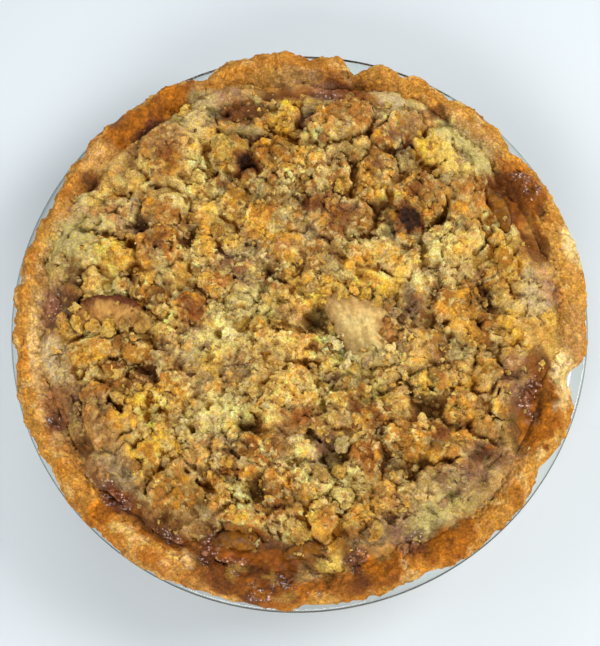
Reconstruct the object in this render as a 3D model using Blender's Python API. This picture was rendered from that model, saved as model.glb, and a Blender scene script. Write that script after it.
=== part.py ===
"""Apple crumble pie standing in its clear glass pie dish, +Y away from the front, +Z up, base on the origin."""

import math
import random

import bmesh
import bpy
from mathutils import Matrix, Vector, noise

MM = 0.001

# Dish
DISH_SIDES = 48
DISH_RADIUS = 121 * MM
DISH_HEIGHT = 38 * MM
DISH_FOOT_RADIUS = 86 * MM
DISH_FLOOR = 5.0 * MM
DISH_WALL_TOP = 106.5 * MM
FLANGE_THICKNESS = 4.4 * MM

# Pastry case
GAP = 0.4 * MM
PASTRY_THICKNESS = 4.6 * MM
RIM_REACH = 118.3 * MM
RIM_LIMIT = 120.3 * MM
RIM_CREST = 46.0 * MM
RIM_CRIMP = 15 * MM
# Places where the rim is pushed in or out and up or down: middle and half width in degrees, then mm.
RIM_CHANGES = (
    (109.0, 4.0, -4.0, -1.0),
    (102.0, 5.0, 1.2, 2.4),
    (93.5, 4.0, 1.6, 1.6),
    (87.0, 2.2, -2.6, -0.8),
    (83.5, 2.6, 0.2, 2.2),
    (77.5, 2.6, -6.5, -3.0),
    (72.0, 3.4, 0.6, 2.4),
    (67.5, 2.0, -2.6, -0.6),
    (57.0, 3.5, -1.8, 0.0),
    (35.0, 6.0, -1.4, -0.6),
    (12.0, 8.0, 1.6, 0.6),
    (-15.5, 4.6, -5.4, -1.2),
    (-32.0, 4.5, -2.0, 0.0),
    (-66.0, 5.0, -1.6, -0.5),
    (126.0, 7.0, -1.2, -1.6),
    (154.0, 8.0, -3.0, 0.4),
    (176.0, 6.0, 0.4, 1.0),
    (196.0, 7.0, -0.8, 0.5),
    (222.0, 5.0, 0.2, -1.2),
)

# Apple filling
FILLING_TOP = 39.6 * MM
FILLING_REACH = 101.6 * MM

# Crumble heap
HEAP_BASE = 40.2 * MM
HEAP_RIM = 42.6 * MM
HEAP_DOME = 4.6 * MM
HEAP_SIDES = 48
HEAP_LIMIT = 102.4 * MM
# Dips in the outline of the heap: middle and half width in degrees, then how far the edge draws back in mm.
HEAP_BAYS = (
    (31.0, 10.0, 8.5),
    (-20.0, 8.0, 6.0),
    (-52.0, 7.0, 2.5),
    (-76.0, 7.0, 4.0),
    (-92.0, 9.0, 9.0),
    (-108.0, 8.0, 9.0),
    (-128.0, 7.0, 3.0),
    (-158.0, 6.0, 3.5),
    (127.0, 8.0, 2.0),
    (95.0, 7.0, 1.0),
)
# Hollows between the crumbs: x, y, half width and depth in mm.
HOLLOWS = (
    (-22, 67, 6, 4.5),
    (35, 46, 7, 5.0),
    (58, 43, 5, 4.5),
    (10, -5, 8, 5.5),
    (54, -40, 8, 6.0),
    (14, -58, 7, 5.0),
    (-16, -72, 6, 5.0),
    (-19, -46, 6, 4.5),
    (-68, 46, 5, 4.0),
    (-71, 19, 6, 4.0),
    (-10, 18, 6, 3.5),
    (-45, 36, 5, 4.0),
    (-63, -23, 5, 4.0),
    (23, 68, 5, 3.0),
    (-36, 91, 6, 3.5),
    (77, 6, 5, 4.5),
    (48, -63, 8, 4.0),
    (75, -58, 6, 4.0),
    (-87, -53, 6, 4.0),
    (38, -29, 6, 3.0),
)
# Crumbs that stand out of the heap: x, y, length and width in mm, then the turn of the length in degrees.
CRUMBS = (
    (-57, 76, 27, 25, 40),
    (-43, 85, 17, 14, 115),
    (-29, 73, 18, 15, 60),
    (-24, 94, 26, 12, 5),
    (-5, 89, 16, 11, 80),
    (-7, 71, 25, 14, 170),
    (20, 87, 27, 18, 10),
    (22, 73, 21, 10, 15),
    (33, 61, 26, 14, 75),
    (60, 75, 17, 15, 30),
    (48, 89, 14, 12, 0),
    (65, 86, 11, 9, 60),
    (76, 71, 20, 13, 140),
    (17, 43, 27, 20, 155),
    (13, 59, 21, 14, 20),
    (52, 52, 22, 19, 30),
    (46, 41, 14, 11, 110),
    (72, 50, 20, 18, 100),
    (67, 31, 24, 18, 20),
    (26, 28, 36, 13, 4),
    (11, 14, 17, 11, 150),
    (32, 13, 21, 12, 160),
    (87, 23, 17, 8, 85),
    (67, 3, 21, 19, 30),
    (84, 10, 12, 8, 95),
    (87, -6, 14, 11, 95),
    (98, -7, 14, 11, 100),
    (50, -14, 21, 15, 10),
    (71, -9, 15, 13, 0),
    (-2, -13, 34, 13, 165),
    (-88, 52, 24, 12, 25),
    (-78, 44, 15, 12, 100),
    (-57, 47, 19, 17, 90),
    (-58, 31, 19, 18, 0),
    (-92, 31, 16, 15, 20),
    (-76, 27, 17, 13, 150),
    (-86, 17, 11, 9, 80),
    (-45, 4, 15, 12, 170),
    (-86, -14, 19, 12, 20),
    (-66, -15, 15, 9, 170),
    (-83, -48, 22, 14, 115),
    (-68, -43, 17, 10, 100),
    (-50, -31, 19, 15, 30),
    (-57, -53, 17, 13, 60),
    (-50, -73, 22, 19, 40),
    (-8, -70, 18, 12, 100),
    (-21, -85, 19, 11, 10),
    (-26, -41, 19, 9, 75),
    (-3, -35, 28, 22, 60),
    (29, -44, 15, 12, 30),
    (27, -60, 16, 14, 80),
    (54, -54, 38, 15, 170),
    (42, -38, 17, 9, 95),
    (67, -38, 16, 11, 70),
    (10, -85, 15, 12, 80),
    (25, -82, 10, 8, 20),
    (36, -75, 13, 10, 120),
    (56, -77, 25, 13, 30),
    (72, -69, 15, 12, 60),
    (15, -99, 9, 8, 0),
    (-14, 44, 17, 13, 50),
    (-39, 33, 12, 10, 80),
    (-27, 33, 8, 7, 40),
    (-4, 30, 16, 11, 20),
    (-35, 16, 16, 11, 170),
    (-50, 18, 11, 10, 40),
    (-24, 4, 15, 11, 20),
    (-47, 60, 17, 13, 130),
    (-27, 52, 14, 10, 90),
    (-8, 55, 15, 12, 30),
    (-33, -17, 15, 12, 60),
    (-27, -62, 10, 8, 110),
    (2, -56, 14, 10, 160),
    (86, -36, 15, 11, 70),
    (52, 12, 12, 10, 60),
)
FILLER_CRUMBS = 76
FILLER_SIZE = (7.5 * MM, 13 * MM)
FINE_CRUMB = 20.5 * MM

# Apple slices that show; plan outlines in mm, listed anticlockwise.
SLICE_GAP = 0.35 * MM
MIDDLE_OUTLINE = ((12, 6), (14, -3), (18, -12), (22, -19), (32, -22), (42, -20), (42, -9), (39, 1), (30, 6), (20, 9))
LEFT_ARC = (-78, -30, 34, 62, 118, 11)
RIGHT_ARC = (60, 34, 28, 4, 56, 9)
FRONT_ARC = (-25, -113, 21, 58, 116, 9)
NEAR_ARC = (5, -120, 23, 64, 118, 8)


def clear_scene():
    for item in list(bpy.data.objects):
        bpy.data.objects.remove(item, do_unlink=True)


def material(name, colour, roughness, transmission=0.0, coat=0.0):
    made = bpy.data.materials.new(name)
    made.use_nodes = True
    shader = made.node_tree.nodes["Principled BSDF"]
    shader.inputs["Base Color"].default_value = (*colour, 1)
    shader.inputs["Roughness"].default_value = roughness
    shader.inputs["Transmission Weight"].default_value = transmission
    shader.inputs["Coat Weight"].default_value = coat
    return made


def finish_mesh(mesh, surface, sharp=40):
    """Gives a mesh its material and rounds its shading."""
    if surface:
        mesh.materials.append(surface)
    mesh.shade_smooth()
    mesh.set_sharp_from_angle(angle=math.radians(sharp))


def object_from_bmesh(name, shape, surface=None):
    mesh = bpy.data.meshes.new(name)
    shape.to_mesh(mesh)
    shape.free()
    finish_mesh(mesh, surface)
    made = bpy.data.objects.new(name, mesh)
    bpy.context.scene.collection.objects.link(made)
    return made


def new_object(name, points, faces, surface=None):
    mesh = bpy.data.meshes.new(name)
    mesh.from_pydata([tuple(p) for p in points], [], faces)
    mesh.update()
    finish_mesh(mesh, surface)
    made = bpy.data.objects.new(name, mesh)
    bpy.context.scene.collection.objects.link(made)
    return made


def skin(rings):
    """Points and faces of a closed form through rings, base first; a ring may be one point or double the last."""
    points = []
    starts = []
    for ring in rings:
        starts.append(len(points))
        points += ring
    faces = []
    for index in range(len(rings) - 1):
        a, b = starts[index], starts[index + 1]
        n, m = len(rings[index]), len(rings[index + 1])
        if n == 1:
            faces += [(a, b + (i + 1) % m, b + i) for i in range(m)]
        elif m == 1:
            faces += [(a + i, a + (i + 1) % n, b) for i in range(n)]
        elif n == m:
            faces += [(a + i, a + (i + 1) % n, b + (i + 1) % n, b + i) for i in range(n)]
        elif m == 2 * n:
            for i in range(n):
                j = (i + 1) % n
                faces.append((a + i, b + 2 * i + 1, b + 2 * i))
                faces.append((a + i, a + j, b + 2 * i + 1))
                faces.append((a + j, b + (2 * i + 2) % m, b + 2 * i + 1))
        else:
            for i in range(m):
                j = (i + 1) % m
                faces.append((a + 2 * i, a + 2 * i + 1, b + i))
                faces.append((a + 2 * i + 1, b + j, b + i))
                faces.append((a + 2 * i + 1, a + (2 * i + 2) % n, b + j))
    return points, faces


def ring(sides, radius, height):
    """A ring of points; radius and height are numbers, or functions of the angle in degrees."""
    made = []
    for i in range(sides):
        angle = 360 * i / sides
        r = radius(angle) if callable(radius) else radius
        z = height(angle) if callable(height) else height
        made.append(Vector((r * math.cos(math.radians(angle)), r * math.sin(math.radians(angle)), z)))
    return made


def near(angle, middle, width):
    """1 at the middle angle, falling away to nothing over about two widths."""
    turn = (angle - middle + 180) % 360 - 180
    return math.exp(-((turn / width) ** 2))


def ripple(angle, radius, wave, seed):
    """Smooth noise round a circle, about -1 to 1, that closes on itself."""
    x = radius / wave * math.cos(math.radians(angle))
    y = radius / wave * math.sin(math.radians(angle))
    return 1.6 * noise.noise(Vector((x, y, 7.3 * seed)))


# The dish ---------------------------------------------------------------------------------------------------


def build_dish():
    """The dish, turned from one closed profile."""
    flange_low = DISH_HEIGHT - FLANGE_THICKNESS
    inner_foot = DISH_FOOT_RADIUS - 4 * MM
    profile = (
        (0, 0),
        (DISH_FOOT_RADIUS, 0),
        (DISH_FOOT_RADIUS + 4.5 * MM, 1.6 * MM),
        (DISH_FOOT_RADIUS + 7.5 * MM, 5.6 * MM),
        (DISH_WALL_TOP + 4.4 * MM, flange_low - 1.5 * MM),
        (DISH_WALL_TOP + 6.4 * MM, flange_low),
        (DISH_RADIUS - 1.6 * MM, flange_low - 0.4 * MM),
        (DISH_RADIUS, flange_low + 1.0 * MM),
        (DISH_RADIUS, DISH_HEIGHT - 1.2 * MM),
        (DISH_RADIUS - 1.4 * MM, DISH_HEIGHT),
        (DISH_WALL_TOP + 2.6 * MM, DISH_HEIGHT),
        (DISH_WALL_TOP, DISH_HEIGHT - 2.4 * MM),
        (inner_foot + 5.6 * MM, DISH_FLOOR + 4.4 * MM),
        (inner_foot + 3.0 * MM, DISH_FLOOR + 1.3 * MM),
        (inner_foot - 1.5 * MM, DISH_FLOOR),
        (0, DISH_FLOOR),
    )
    shape = bmesh.new()
    verts = [shape.verts.new((radius, 0, height)) for radius, height in profile]
    for low, high in zip(verts, verts[1:]):
        shape.edges.new((low, high))
    bmesh.ops.spin(
        shape,
        geom=shape.verts[:] + shape.edges[:],
        axis=(0, 0, 1),
        cent=(0, 0, 0),
        steps=DISH_SIDES,
        angle=2 * math.pi,
        use_merge=True,
    )
    bmesh.ops.remove_doubles(shape, verts=shape.verts, dist=0.01 * MM)
    bmesh.ops.recalc_face_normals(shape, faces=shape.faces)
    glass = material("clear_glass", (0.86, 0.93, 0.90), 0.05, transmission=0.9)
    return object_from_bmesh("glass_dish", shape, glass)


# The pastry case --------------------------------------------------------------------------------------------


def rim_change(angle, column):
    return MM * sum(row[column] * near(angle, row[0], row[1]) for row in RIM_CHANGES)


def rim_edge(angle):
    """How far out the uneven crimped edge of the pastry reaches."""
    crimps = 0.9 * MM * ripple(angle, RIM_REACH, RIM_CRIMP, 1) + 0.7 * MM * ripple(angle, RIM_REACH, 7 * MM, 2)
    return min(RIM_LIMIT, RIM_REACH + crimps + rim_change(angle, 2))


def rim_height(angle):
    """Height of the crest of the rim."""
    return RIM_CREST + rim_change(angle, 3) + 1.1 * MM * ripple(angle, RIM_REACH, RIM_CRIMP, 3)


def build_pastry():
    inner_foot = DISH_FOOT_RADIUS - 4 * MM
    fine = 2 * DISH_SIDES
    low = DISH_HEIGHT + GAP
    floor = DISH_FLOOR + GAP
    rings = [
        [Vector((0, 0, floor))],
        ring(DISH_SIDES, inner_foot - 1.8 * MM, floor),
        ring(DISH_SIDES, inner_foot + 2.6 * MM, floor + 1.3 * MM),
        ring(DISH_SIDES, inner_foot + 5.1 * MM, floor + 4.4 * MM),
        ring(DISH_SIDES, DISH_WALL_TOP - 0.5 * MM, DISH_HEIGHT - 2.2 * MM),
        ring(DISH_SIDES, DISH_WALL_TOP + 2.3 * MM, low),
        ring(fine, lambda a: rim_edge(a) - 2.2 * MM, low),
        ring(fine, rim_edge, lambda a: low + 1.9 * MM + 0.4 * MM * ripple(a, RIM_REACH, 9 * MM, 4)),
        ring(fine, lambda a: rim_edge(a) - 1.7 * MM, lambda a: 0.45 * low + 0.55 * rim_height(a) + 1.4 * MM),
        ring(
            fine,
            lambda a: 0.5 * rim_edge(a) + 54.6 * MM + 0.6 * MM * ripple(a, RIM_REACH, 10 * MM, 5),
            rim_height,
        ),
        ring(
            fine,
            lambda a: 109.4 * MM + 0.9 * MM * ripple(a, RIM_REACH, 11 * MM, 6),
            lambda a: 44.6 * MM + 0.5 * (rim_height(a) - RIM_CREST) + 0.5 * MM * ripple(a, RIM_REACH, 8 * MM, 7),
        ),
        ring(fine, 105.6 * MM, lambda a: 42.4 * MM + 0.5 * MM * ripple(a, RIM_REACH, 12 * MM, 8)),
        ring(DISH_SIDES, 102.6 * MM, 38.0 * MM),
        ring(DISH_SIDES, inner_foot + 1.0 * MM, floor + PASTRY_THICKNESS + 1.2 * MM),
        ring(DISH_SIDES, inner_foot - 2.0 * MM, floor + PASTRY_THICKNESS),
        [Vector((0, 0, floor + PASTRY_THICKNESS))],
    ]
    pastry = material("baked_pastry", (0.62, 0.36, 0.12), 0.7)
    return new_object("pastry_crust", *skin(rings), pastry)


# The filling ------------------------------------------------------------------------------------------------


def build_filling():
    inner_foot = DISH_FOOT_RADIUS - 4 * MM
    floor = DISH_FLOOR + GAP + PASTRY_THICKNESS + GAP
    rings = [
        [Vector((0, 0, floor))],
        ring(DISH_SIDES, inner_foot - 2.2 * MM, floor),
        ring(DISH_SIDES, inner_foot + 0.4 * MM, floor + 1.2 * MM),
        ring(DISH_SIDES, FILLING_REACH, 37.4 * MM),
        ring(2 * DISH_SIDES, FILLING_REACH - 1.0 * MM, lambda a: 38.9 * MM + 0.5 * MM * ripple(a, 100 * MM, 9 * MM, 9)),
        ring(2 * DISH_SIDES, FILLING_REACH - 5.0 * MM, lambda a: 39.0 * MM + 0.6 * MM * ripple(a, 96 * MM, 9 * MM, 10)),
        ring(DISH_SIDES, FILLING_REACH - 11.0 * MM, lambda a: 39.1 * MM + 0.4 * MM * ripple(a, 90 * MM, 12 * MM, 11)),
        ring(DISH_SIDES, FILLING_REACH - 17.0 * MM, FILLING_TOP),
        [Vector((0, 0, FILLING_TOP))],
    ]
    caramel = material("caramel_apple", (0.36, 0.12, 0.02), 0.18, coat=0.5)
    return new_object("apple_filling", *skin(rings), caramel)


# The apple slices -------------------------------------------------------------------------------------------


def grown(outline, amount):
    """The outline, a list of plan points, moved outwards from its middle by an amount."""
    middle = sum(outline, Vector((0, 0))) / len(outline)
    return [p + (p - middle).normalized() * amount for p in outline]


def arc_outline(arc, steps=7):
    """Crescent outline from an arc: centre x and y, radius, first and last angle, greatest width."""
    x, y, radius, first, last, width = arc
    outside = []
    inside = []
    for i in range(steps + 1):
        share = i / steps
        angle = math.radians(first + (last - first) * share)
        half = 0.5 * width * (0.25 + 0.75 * math.sin(math.pi * share) ** 0.7)
        outside.append(Vector((x + (radius + half) * math.cos(angle), y + (radius + half) * math.sin(angle))) * MM)
        inside.append(Vector((x + (radius - half) * math.cos(angle), y + (radius - half) * math.sin(angle))) * MM)
    return outside + inside[::-1]


def slice_rings(outline, base, height, slope):
    """Rings of a slice with softened edges lying on a sloping plane."""

    def lifted(points, rise):
        return [Vector((p.x, p.y, base + rise + slope[0] * p.x + slope[1] * p.y)) for p in points]

    return [
        lifted(grown(outline, -0.8 * MM), 0),
        lifted(outline, 0.3 * height),
        lifted(grown(outline, -0.2 * MM), 0.7 * height),
        lifted(grown(outline, -1.6 * MM), height),
    ]


def build_slice(name, outline, base, height, slope, surface):
    rings = slice_rings(outline, base, height, slope)
    points = sum(rings, [])
    n = len(outline)
    faces = [tuple(reversed(range(n))), tuple(range(3 * n, 4 * n))]
    for level in range(3):
        a, b = level * n, (level + 1) * n
        faces += [(a + i, a + (i + 1) % n, b + (i + 1) % n, b + i) for i in range(n)]
    return new_object(name, points, faces, surface)


def build_pocket(outline, base, slope):
    """A cutter that clears a slice from just under it up to above the heap."""
    wide = grown(outline, 1.6 * SLICE_GAP)
    points = [Vector((p.x, p.y, base - SLICE_GAP + slope[0] * p.x + slope[1] * p.y)) for p in wide]
    points += [Vector((p.x, p.y, 90 * MM)) for p in wide]
    n = len(wide)
    faces = [tuple(reversed(range(n))), tuple(range(n, 2 * n))]
    faces += [(i, (i + 1) % n, n + (i + 1) % n, n + i) for i in range(n)]
    return new_object("pocket", points, faces)


def build_slices():
    """The showing slices and the pockets they lie in."""
    pale = material("cooked_apple", (0.66, 0.50, 0.22), 0.4)
    glazed = material("glazed_apple", (0.40, 0.15, 0.04), 0.2, coat=0.5)
    middle = [Vector(p) * MM for p in MIDDLE_OUTLINE]
    layout = (
        ("apple_slice_middle", middle, 47.4 * MM, 4.2 * MM, (0.03, 0.05), pale),
        ("apple_slice_left", arc_outline(LEFT_ARC), 45.2 * MM, 4.6 * MM, (0.0, -0.03), pale),
        ("apple_slice_right", arc_outline(RIGHT_ARC), 40.3 * MM, 5.6 * MM, (0.0, 0.0), glazed),
        ("apple_slice_front_left", arc_outline(FRONT_ARC), 40.3 * MM, 5.2 * MM, (0.0, 0.0), glazed),
        ("apple_slice_front", arc_outline(NEAR_ARC), 40.3 * MM, 4.4 * MM, (0.0, 0.0), glazed),
    )
    pockets = []
    for name, outline, base, height, slope, surface in layout:
        build_slice(name, outline, base, height, slope, surface)
        pockets.append(build_pocket(outline, base, slope))
    return pockets


# The crumble ------------------------------------------------------------------------------------------------


def heap_edge(angle):
    """Radius of the uneven outline of the heap."""
    drawn_back = MM * sum(row[2] * near(angle, row[0], row[1]) for row in HEAP_BAYS)
    return min(HEAP_LIMIT, 98.6 * MM - drawn_back + 1.2 * MM * ripple(angle, 98 * MM, 14 * MM, 12))


def heap_top(x, y):
    """Height of the bed that the crumbs stand on."""
    reach = math.hypot(x, y)
    share = min(1, reach / heap_edge(math.degrees(math.atan2(y, x))))
    height = HEAP_RIM + HEAP_DOME * (1 - share**3.0)
    height += 1.3 * MM * noise.noise(Vector((x, y, 0)) / (24 * MM)) * 1.5
    height += 0.6 * MM * noise.noise(Vector((x, y, 1)) / (9 * MM)) * 1.5
    for hx, hy, wide, deep in HOLLOWS:
        away = math.hypot(x / MM - hx, y / MM - hy) / wide
        height -= deep * MM * math.exp(-(away**2))
    return max(height, HEAP_BASE + 1.2 * MM)


def build_bed(surface):
    """The core of the heap: flat below, uneven above."""
    shares = (0.98, 0.9, 0.78, 0.64, 0.5, 0.35, 0.18)
    rings = [[Vector((0, 0, HEAP_BASE))], ring(HEAP_SIDES, lambda a: heap_edge(a) - 0.8 * MM, HEAP_BASE)]
    rings.append(ring(HEAP_SIDES, heap_edge, HEAP_BASE + 1.0 * MM))
    for share in shares:
        level = ring(HEAP_SIDES if share > 0.6 else HEAP_SIDES // 2, lambda a: share * heap_edge(a), 0)
        for point in level:
            point.z = heap_top(point.x, point.y)
        rings.append(level)
    rings.append([Vector((0, 0, heap_top(0, 0)))])
    return new_object("crumble_topping", *skin(rings), surface)


def clear_of_rim(x, y, length):
    """The place moved inwards until the crumb stays inside the pastry."""
    reach = math.hypot(x, y)
    most = HEAP_LIMIT - 0.5 * length
    if reach <= most:
        return x, y
    return x * most / reach, y * most / reach


def build_crumb(x, y, length, width, turn, seed):
    """One lumpy, rather blocky crumb half sunk in the bed."""
    x, y = clear_of_rim(x, y, length)
    rise = 0.24 * width + 2.5 * MM
    level = max(heap_top(x, y), HEAP_BASE + 0.5 * MM + rise)
    shape = bmesh.new()
    bmesh.ops.create_icosphere(shape, subdivisions=2 if length > FINE_CRUMB else 1, radius=1)
    placed = Matrix.Rotation(math.radians(turn), 3, "Z")
    for vert in shape.verts:
        lump = 1.05 + 0.42 * noise.noise(vert.co * 1.5 + Vector((seed * 3.1, seed * 1.7, 0)))
        lump += 0.16 * noise.noise(vert.co * 3.7 + Vector((0, seed * 2.3, 0)))
        point = Vector([math.copysign(abs(c) ** 0.8, c) for c in vert.co]) * min(lump, 1.05)
        point = Vector((point.x * 0.5 * length, point.y * 0.5 * width, point.z * rise))
        vert.co = placed @ point + Vector((x, y, level))
    mesh = bpy.data.meshes.new("crumb")
    shape.to_mesh(mesh)
    shape.free()
    return bpy.data.objects.new("crumb", mesh)


def filler_places(draw):
    """Places for smaller crumbs, larger ones first, spread evenly over what the named ones leave free."""
    taken = [(row[0] * MM, row[1] * MM, 0.25 * (row[2] + row[3]) * MM) for row in CRUMBS]
    places = []
    for attempt in range(9000):
        if len(places) == FILLER_CRUMBS:
            break
        reach = 97 * MM * math.sqrt(draw.random())
        angle = draw.uniform(0, 2 * math.pi)
        size = FILLER_SIZE[1] - (FILLER_SIZE[1] - FILLER_SIZE[0]) * min(1, attempt / 3000)
        x, y = reach * math.cos(angle), reach * math.sin(angle)
        if reach + 0.5 * size > heap_edge(math.degrees(angle)) + 1.5 * MM:
            continue
        if any(math.hypot(x - tx, y - ty) < tr + 0.45 * size for tx, ty, tr in taken):
            continue
        taken.append((x, y, 0.5 * size))
        places.append((x, y, size))
    return places


def keep_largest_body(shape):
    """Drops loose scraps and sealed hollows left by fusing, so that one outer skin is left."""
    left = set(shape.verts)
    bodies = []
    while left:
        body = {left.pop()}
        edge = list(body)
        while edge:
            vert = edge.pop()
            for link in vert.link_edges:
                other = link.other_vert(vert)
                if other in left:
                    left.discard(other)
                    body.add(other)
                    edge.append(other)
        bodies.append(body)
    bodies.sort(key=len)
    loose = [vert for body in bodies[:-1] for vert in body]
    bmesh.ops.delete(shape, geom=loose, context="VERTS")


def apply_boolean(target, collection, operation):
    cut = target.modifiers.new(operation.lower(), "BOOLEAN")
    cut.operation = operation
    cut.operand_type = "COLLECTION"
    cut.collection = collection
    cut.solver = "EXACT"
    bpy.context.view_layer.update()
    graph = bpy.context.evaluated_depsgraph_get()
    made = bpy.data.meshes.new_from_object(target.evaluated_get(graph))
    target.modifiers.clear()
    target.data = made
    for item in list(collection.objects):
        bpy.data.objects.remove(item, do_unlink=True)
    bpy.data.collections.remove(collection)


def build_crumble(pockets):
    surface = material("baked_crumble", (0.60, 0.40, 0.15), 0.85)
    bed = build_bed(surface)
    draw = random.Random(11)
    pieces = bpy.data.collections.new("crumb_pieces")
    bpy.context.scene.collection.children.link(pieces)
    ordered = sorted(CRUMBS, key=lambda row: -row[2] * row[3])
    for index, (x, y, length, width, turn) in enumerate(ordered):
        pieces.objects.link(build_crumb(x * MM, y * MM, length * MM, width * MM, turn, index))
    for index, (x, y, size) in enumerate(filler_places(draw)):
        turn = draw.uniform(0, 180)
        pieces.objects.link(build_crumb(x, y, size, 0.85 * size, turn, 100 + index))
    apply_boolean(bed, pieces, "UNION")
    hollow = bpy.data.collections.new("slice_pockets")
    bpy.context.scene.collection.children.link(hollow)
    for pocket in pockets:
        bpy.context.scene.collection.objects.unlink(pocket)
        hollow.objects.link(pocket)
    apply_boolean(bed, hollow, "DIFFERENCE")
    shape = bmesh.new()
    shape.from_mesh(bed.data)
    bmesh.ops.triangulate(shape, faces=shape.faces)
    bmesh.ops.dissolve_degenerate(shape, edges=shape.edges, dist=0.02 * MM)
    keep_largest_body(shape)
    shape.to_mesh(bed.data)
    shape.free()
    bed.data.shade_smooth()
    bed.data.set_sharp_from_angle(angle=math.radians(50))
    return bed


clear_scene()
build_dish()
build_pastry()
build_filling()
build_crumble(build_slices())
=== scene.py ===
"""The dressed apple crumble pie: pastry, caramel, apple slices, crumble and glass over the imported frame."""

import math
import random

import bmesh
import bpy
import numpy as np
from mathutils import Matrix, Vector, noise


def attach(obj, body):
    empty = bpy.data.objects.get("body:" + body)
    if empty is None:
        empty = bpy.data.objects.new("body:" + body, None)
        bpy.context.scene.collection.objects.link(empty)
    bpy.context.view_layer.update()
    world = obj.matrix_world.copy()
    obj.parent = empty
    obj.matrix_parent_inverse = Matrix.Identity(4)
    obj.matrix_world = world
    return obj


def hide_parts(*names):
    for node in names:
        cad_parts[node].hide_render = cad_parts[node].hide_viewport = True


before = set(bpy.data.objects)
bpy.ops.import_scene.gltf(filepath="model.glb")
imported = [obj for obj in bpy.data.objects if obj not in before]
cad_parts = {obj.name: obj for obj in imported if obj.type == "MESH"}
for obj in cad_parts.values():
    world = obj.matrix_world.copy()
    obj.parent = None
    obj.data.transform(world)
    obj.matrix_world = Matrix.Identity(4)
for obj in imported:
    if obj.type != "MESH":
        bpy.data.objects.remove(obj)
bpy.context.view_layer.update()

MM = 0.001

# Everything below is in mm and degrees unless it says otherwise; angles start at +X.
# ---------------------------------------------------------------- layout shared with the solids

DISH_RADIUS, DISH_FOOT, DISH_WALL = 121.0, 86.0, 106.5
DISH_FLOOR, DISH_TOP, FLANGE_LOW = 5.0, 38.0, 33.6
RIM_REACH, RIM_LIMIT, RIM_CREST, RIM_CRIMP = 118.3, 120.3, 46.0, 15
HEAP_BASE, HEAP_RIM, HEAP_DOME, HEAP_LIMIT = 40.2, 42.6, 4.6, 102.4
COVER_REACH = 109.4
CASE_FLOOR_LOW, CASE_FLOOR_TOP = 4.9, 10.0
FILLING_LOW, FILLING_TOP = 10.1, 39.4
BED_LOW = 39.6
FILLER_CRUMBS = 76
FILLER_LEAST, FILLER_MOST = 7.5, 13

# Changes round the rim: angle, width, change of reach, change of height.
RIM_CHANGES = (
    (109, 4, -4, -1), (102, 5, 1.2, 2.4), (93.5, 4, 1.6, 1.6), (87, 2.2, -2.6, -0.8),
    (83.5, 2.6, 0.2, 2.2), (77.5, 2.6, -6.5, -3), (72, 3.4, 0.6, 2.4), (67.5, 2, -2.6, -0.6),
    (57, 3.5, -1.8, 0), (35, 6, -1.4, -0.6), (12, 8, 1.6, 0.6), (-13.6, 3.6, -5.4, -1.2),
    (-32, 4.5, -2, 0), (-66, 5, -1.6, -0.5), (126, 7, -1.2, -1.6), (154, 8, -3, 0.4), (176, 6, 0.4, 1),
    (198, 6, 1, 0.5), (108, 4, 1, 0), (126, 5, 1.3, 0), (180, 9, -1, 0), (184, 5, -1.2, 0),
    (240, 4, 1.3, 0), (306, 9, 1.2, 0), (330, 4, 1.3, 0), (222, 5, 0.2, -1.2),
)
# Where the crumble draws back from the pastry: angle, width, depth.
COVER_BAYS = (
    (19, 5, 7), (30, 7, 14), (82, 8, 8.5), (94, 6, 8), (126, 9, 3), (145.5, 2.5, 4), (177, 5.5, 8.5),
    (202, 5, 5.5), (212, 5, 3), (229, 7, 7), (240, 5, 3), (254, 9, 14), (268, 6, 9), (289, 9, 8),
    (338, 8, 11),
)
# The same for the heap below it.
HEAP_BAYS = (
    (31, 10, 8.5), (-20, 8, 6), (-52, 7, 2.5), (-76, 7, 4), (-92, 9, 9), (-108, 8, 9), (-128, 7, 3),
    (-158, 6, 3.5), (127, 8, 2), (95, 7, 1),
)
# Hollows in the heap: x, y, reach, depth.
HOLLOWS = (
    (-22, 67, 6, 4.5), (35, 46, 7, 5), (59, 43, 4, 3.5), (8, -2, 5.5, 5.5), (13.5, -6, 2.5, 3),
    (3, -1.5, 3, 2.5), (54, -40, 8, 6), (14, -58, 7, 5), (-16, -72, 6, 5), (-19, -46, 6, 4.5),
    (-66, 41, 5, 3.5), (-70, 18, 5, 3), (-10, 18, 6, 3.5), (-45, 36, 5, 4), (-63, -23, 5, 4),
    (23, 68, 5, 3), (-36, 91, 6, 3.5), (77, 6, 5, 4.5), (47, 2, 4, 3.5), (34, -61, 6, 3.5),
    (48, -63, 8, 4), (75, -58, 6, 4), (-87, -53, 6, 4), (38, -29, 6, 3),
)
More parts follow.
